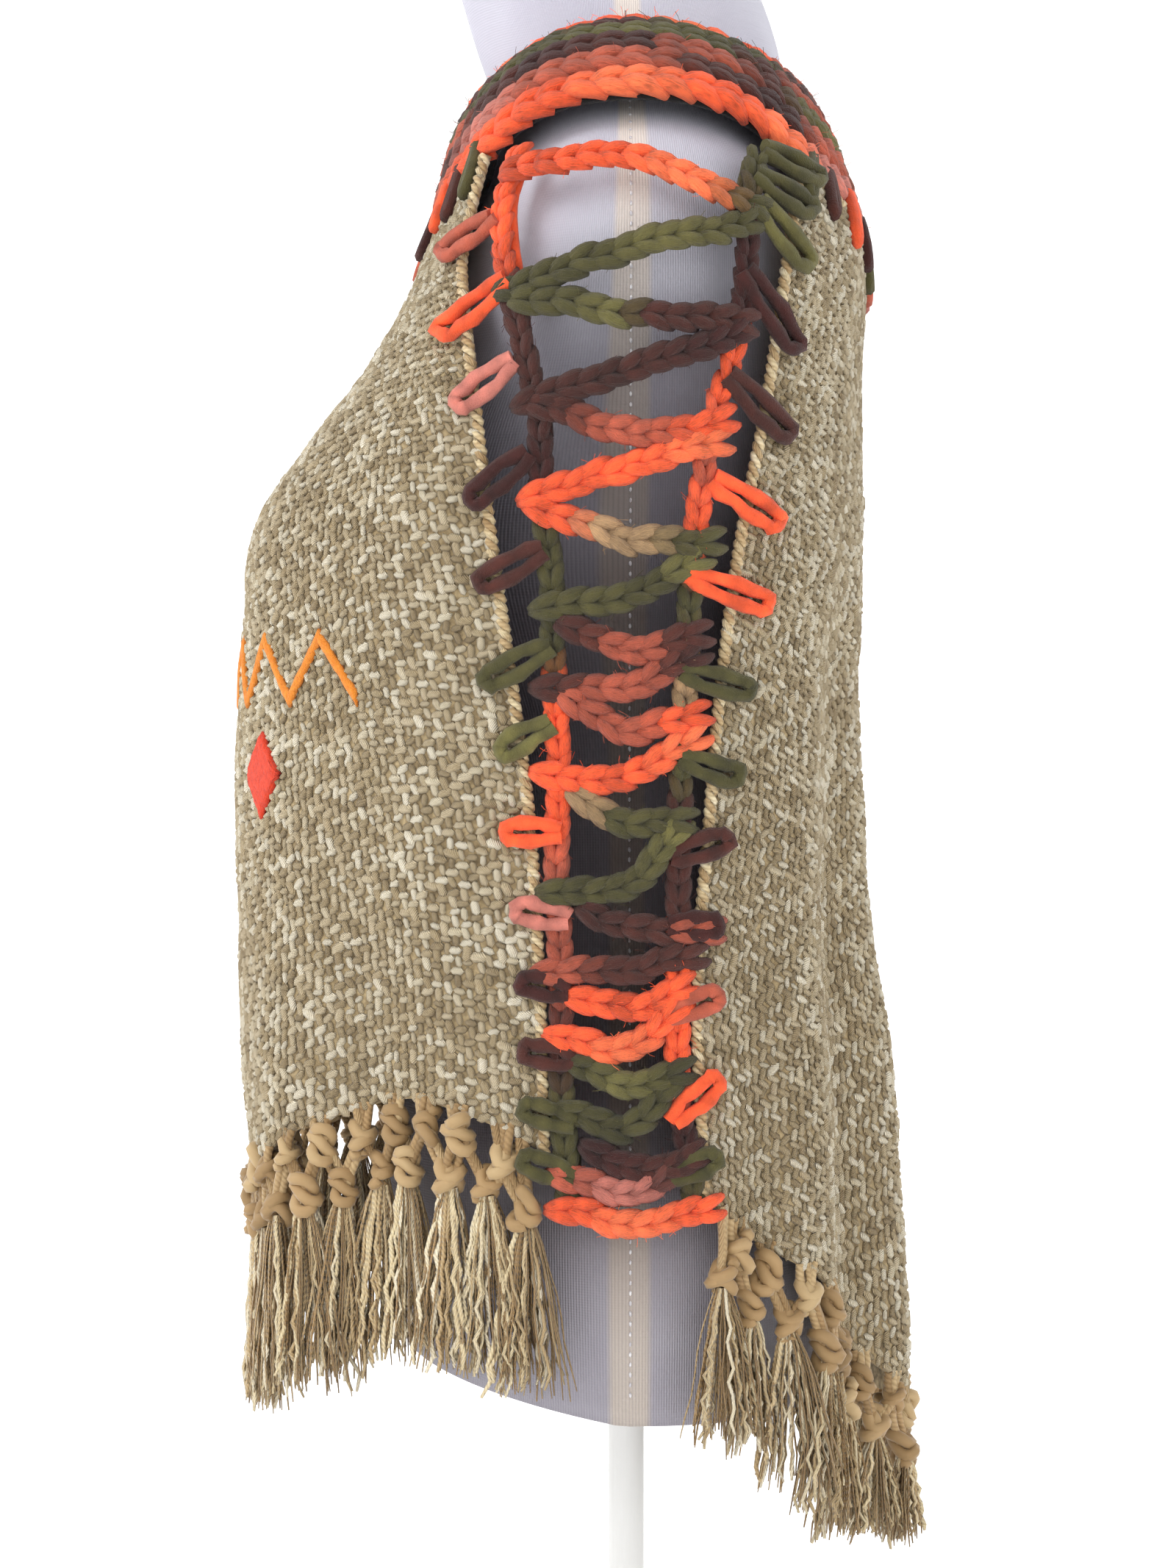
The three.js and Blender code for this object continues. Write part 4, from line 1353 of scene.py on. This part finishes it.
def diamond(name, centre, finish):
    u, v = np.meshgrid(np.linspace(-1, 1, 29), np.linspace(-1, 1, 25))
    height = DIAMOND["half_height"] * np.maximum(0.05, 1 - np.abs(u))
    ragged = 1 + 0.03 * np.sin(u * 19 + v * 5) + 0.02 * np.sin(v * 31)
    across = centre + DIAMOND["half_width"] * u * ragged
    edge = np.minimum(1, 4 * (1 - np.abs(v))) * np.minimum(1, 4 * (1 - np.abs(u)))
    lift = 0.9 + 1.3 * np.sqrt(edge) + 0.15 * np.sin(u * 41) * np.sin(v * 37)
    return felt_pad(name, across, DIAMOND["z"] + v * height * ragged, lift, finish)


# --- Dress form and stand ---

FORM_FRONT_RISE = 0.2


def form_point(turn, z):
    points = section_point(FORM, FORM_SQUARENESS, FORM_MID_Y, turn, z)
    low = 1 - smoothstep(z, 167, 257)
    points[..., 2] = points[..., 2] + low * FORM_FRONT_RISE * np.maximum(0, -points[..., 1])
    return points


def jersey_form(finish):
    """The form's cover: rings from a rounded bottom edge to the neck's top."""
    turns = np.arange(0, 1, 1 / 144)
    levels = np.concatenate([np.linspace(167, 690, 80), np.linspace(694, 825, 46)])
    turn, z = np.meshgrid(turns, levels)
    points = form_point(turn, z)
    uv = np.stack([turn, z * MM], -1)
    rows, columns = z.shape
    faces = grid_faces(rows, columns, 0, ring=True)
    flat = points.reshape(-1, 3)
    for row, z_end, turned in ((0, 172, True), (rows - 1, 826, False)):
        ring = [row * columns + c for c in range(columns)]
        hub = len(flat)
        middle = points[row].mean(axis=0)
        middle[2] = z_end + (10 if turned else 0)
        flat = np.vstack([flat, middle])
        uv = np.vstack([uv.reshape(-1, 2), [0.4, z_end * MM]])
        for c in range(columns):
            a, b = ring[c], ring[(c + 1) % columns]
            faces.append((hub, b, a) if turned else (hub, a, b))
    return new_object("jersey_form", flat, faces, uv=uv, finish=finish)


def seam_stitches(shape, placed, finish):
    """The dotted seams down the form's sides."""
    z = np.arange(180, 742, 4.2)
    parts = {"points": [], "out": [], "along": []}
    for turn in (0.25, 0.75):
        step = 0.002
        here = form_point(np.full(len(z), turn), z)
        beside = form_point(np.full(len(z), turn + step), z)
        above = form_point(np.full(len(z), turn), z + 1)
        outward = unit(np.cross(beside - here, above - here))
        parts["points"].append(here + outward * 0.15)
        parts["out"].append(outward)
        parts["along"].append(unit(above - here))
    attributes = {key: np.concatenate(parts[key]) for key in ("out", "along")}
    points = np.concatenate(parts["points"])
    attributes["size"] = np.tile([2.3, 1.1, 0.7], (len(points), 1))
    guide = new_object("guide", points, attributes=attributes)
    return placed.run("seam_stitches", guide, Shape=shape, Finish=finish, Turn=0.15, Swell=0.1, Seed=4)


# --- Camera, light and floor ---

CAMERA = {"distance": 1.5, "y": -0.0133, "z": 0.430, "tall_at_centre": 0.711}


def studio():
    scene = bpy.context.scene
    scene.view_settings.view_transform = "Standard"
    camera = bpy.data.objects.new("camera", bpy.data.cameras.new("camera"))
    camera.data.sensor_width = 36
    camera.data.lens = 36 * CAMERA["distance"] / CAMERA["tall_at_centre"]
    camera.location = (CAMERA["distance"], CAMERA["y"], CAMERA["z"])
    camera.rotation_euler = (math.pi / 2, 0, math.pi / 2)
    scene.collection.objects.link(camera)
    scene.camera = camera

    lights = [
        # name, place, size, power
        ("key", (1.3, -2.0, 2.7), 1.3, 46),
        ("fill", (2.6, 1.2, 1.5), 2.4, 9),
        ("back", (-1.8, 1.8, 2.4), 2.0, 22),
        ("front", (-1.2, -2.4, 1.6), 2.0, 12),
    ]
    for name, place, size, power in lights:
        light = bpy.data.lights.new(name, "AREA")
        light.size, light.energy = size, power
        holder = bpy.data.objects.new(name, light)
        holder.location = place
        aim = np.array([0, 0, 0.45]) - np.array(place)
        holder.rotation_euler = (
            math.acos(-aim[2] / np.linalg.norm(aim)),
            0,
            math.atan2(aim[1], aim[0]) - math.pi / 2,
        )
        scene.collection.objects.link(holder)

    world = bpy.data.worlds.new("studio")
    world.use_nodes = True
    world.node_tree.nodes["Background"].inputs["Color"].default_value = (1, 1, 1, 1)
    world.node_tree.nodes["Background"].inputs["Strength"].default_value = 0.42
    scene.world = world

    # a pale floor that curves up into a wall all round
    white = Finish("studio white", Roughness=0.9)
    white.surface.inputs["Base Color"].default_value = (0.93, 0.93, 0.93, 1)
    white.surface.inputs["Emission Color"].default_value = (1, 1, 1, 1)
    white.surface.inputs["Emission Strength"].default_value = 0.3
    curve = np.linspace(0, math.pi / 2, 12)
    radii = np.concatenate([[0.01], 3200 + 900 * np.sin(curve), [4100]])
    heights = np.concatenate([[0], 900 - 900 * np.cos(curve), [3600]]) - 0.5
    turns = np.linspace(0, FULL_TURN, 96, endpoint=False)
    points = [(r * math.cos(a), r * math.sin(a), h) for r, h in zip(radii, heights) for a in turns]
    faces = grid_faces(len(radii), len(turns), 0, ring=True)
    new_object("floor", points, faces, finish=white.material)


# --- The poncho ---


def main():
    studio()
    placed, chains, strands = placed_tree(), chain_tree(), strand_tree()
    ground, wool, roving = woven_finish(), float_finish(), yarn_finish()
    tassel, thread, paint = tassel_finish(), stitch_finish(), paint_finish()
    orange = felt_finish("orange felt", srgb("E07A14"), srgb("F99A30"))
    red = felt_finish("red felt", srgb("C42A0A"), srgb("F04418"))
    seed, stitch, knot = float_shape(), stitch_shape(), knot_shape()

    form = finish_piece(jersey_form(jersey_finish()), "jersey", "form_torso")
    finish_piece(seam_stitches(seed, placed, thread), "jersey")

    band, rounds, hooks, loose = yoke(stitch, chains, strands, roving, roving)
    finish_piece(band, "crochet_yarn", "yoke")
    for piece in (rounds, hooks, loose):
        finish_piece(piece, "crochet_yarn")

    lengths = {"front": 430, "back": 500}
    for panel in (FRONT, BACK):
        length = lengths[panel.name]
        cloth = finish_piece(woven_panel(panel, length, ground), "woven_wool", f"{panel.name}_panel")
        on_it = [finish_piece(floats(panel, length, seed, placed, wool), "woven_wool")]
        on_it.append(finish_piece(selvedge(panel, strands, tassel), "woven_wool"))
        bundle, net, tassels = fringe(panel, knot, placed, strands, tassel)
        on_it.append(finish_piece(bundle, "fringe_yarn"))
        on_it.append(finish_piece(net, "fringe_yarn"))
        on_it.append(finish_piece(tassels, "fringe_yarn", f"fringe_{panel.name}"))
        if panel is FRONT:
            on_it.append(finish_piece(zigzag(orange), "orange_felt", "felt_zigzag"))
            for node, centre in DIAMONDS.items():
                patch = diamond(node.replace("felt_", "") + "_felt", centre, red)
                on_it.append(finish_piece(patch, "red_felt", node))

    for hand, name in ((1, "lace_left"), (-1, "lace_right")):
        chain, loops, loose = lace(hand, name, stitch, chains, strands, roving)
        finish_piece(chain, "crochet_yarn", name)
        finish_piece(loops, "crochet_yarn")
        finish_piece(loose, "crochet_yarn")

    for source in (seed, stitch, knot):
        bpy.data.objects.remove(source)
    for node in ("stand_pole", "stand_base"):
        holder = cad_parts[node]
        holder.data.materials.clear()
        holder.data.materials.append(paint)


main()
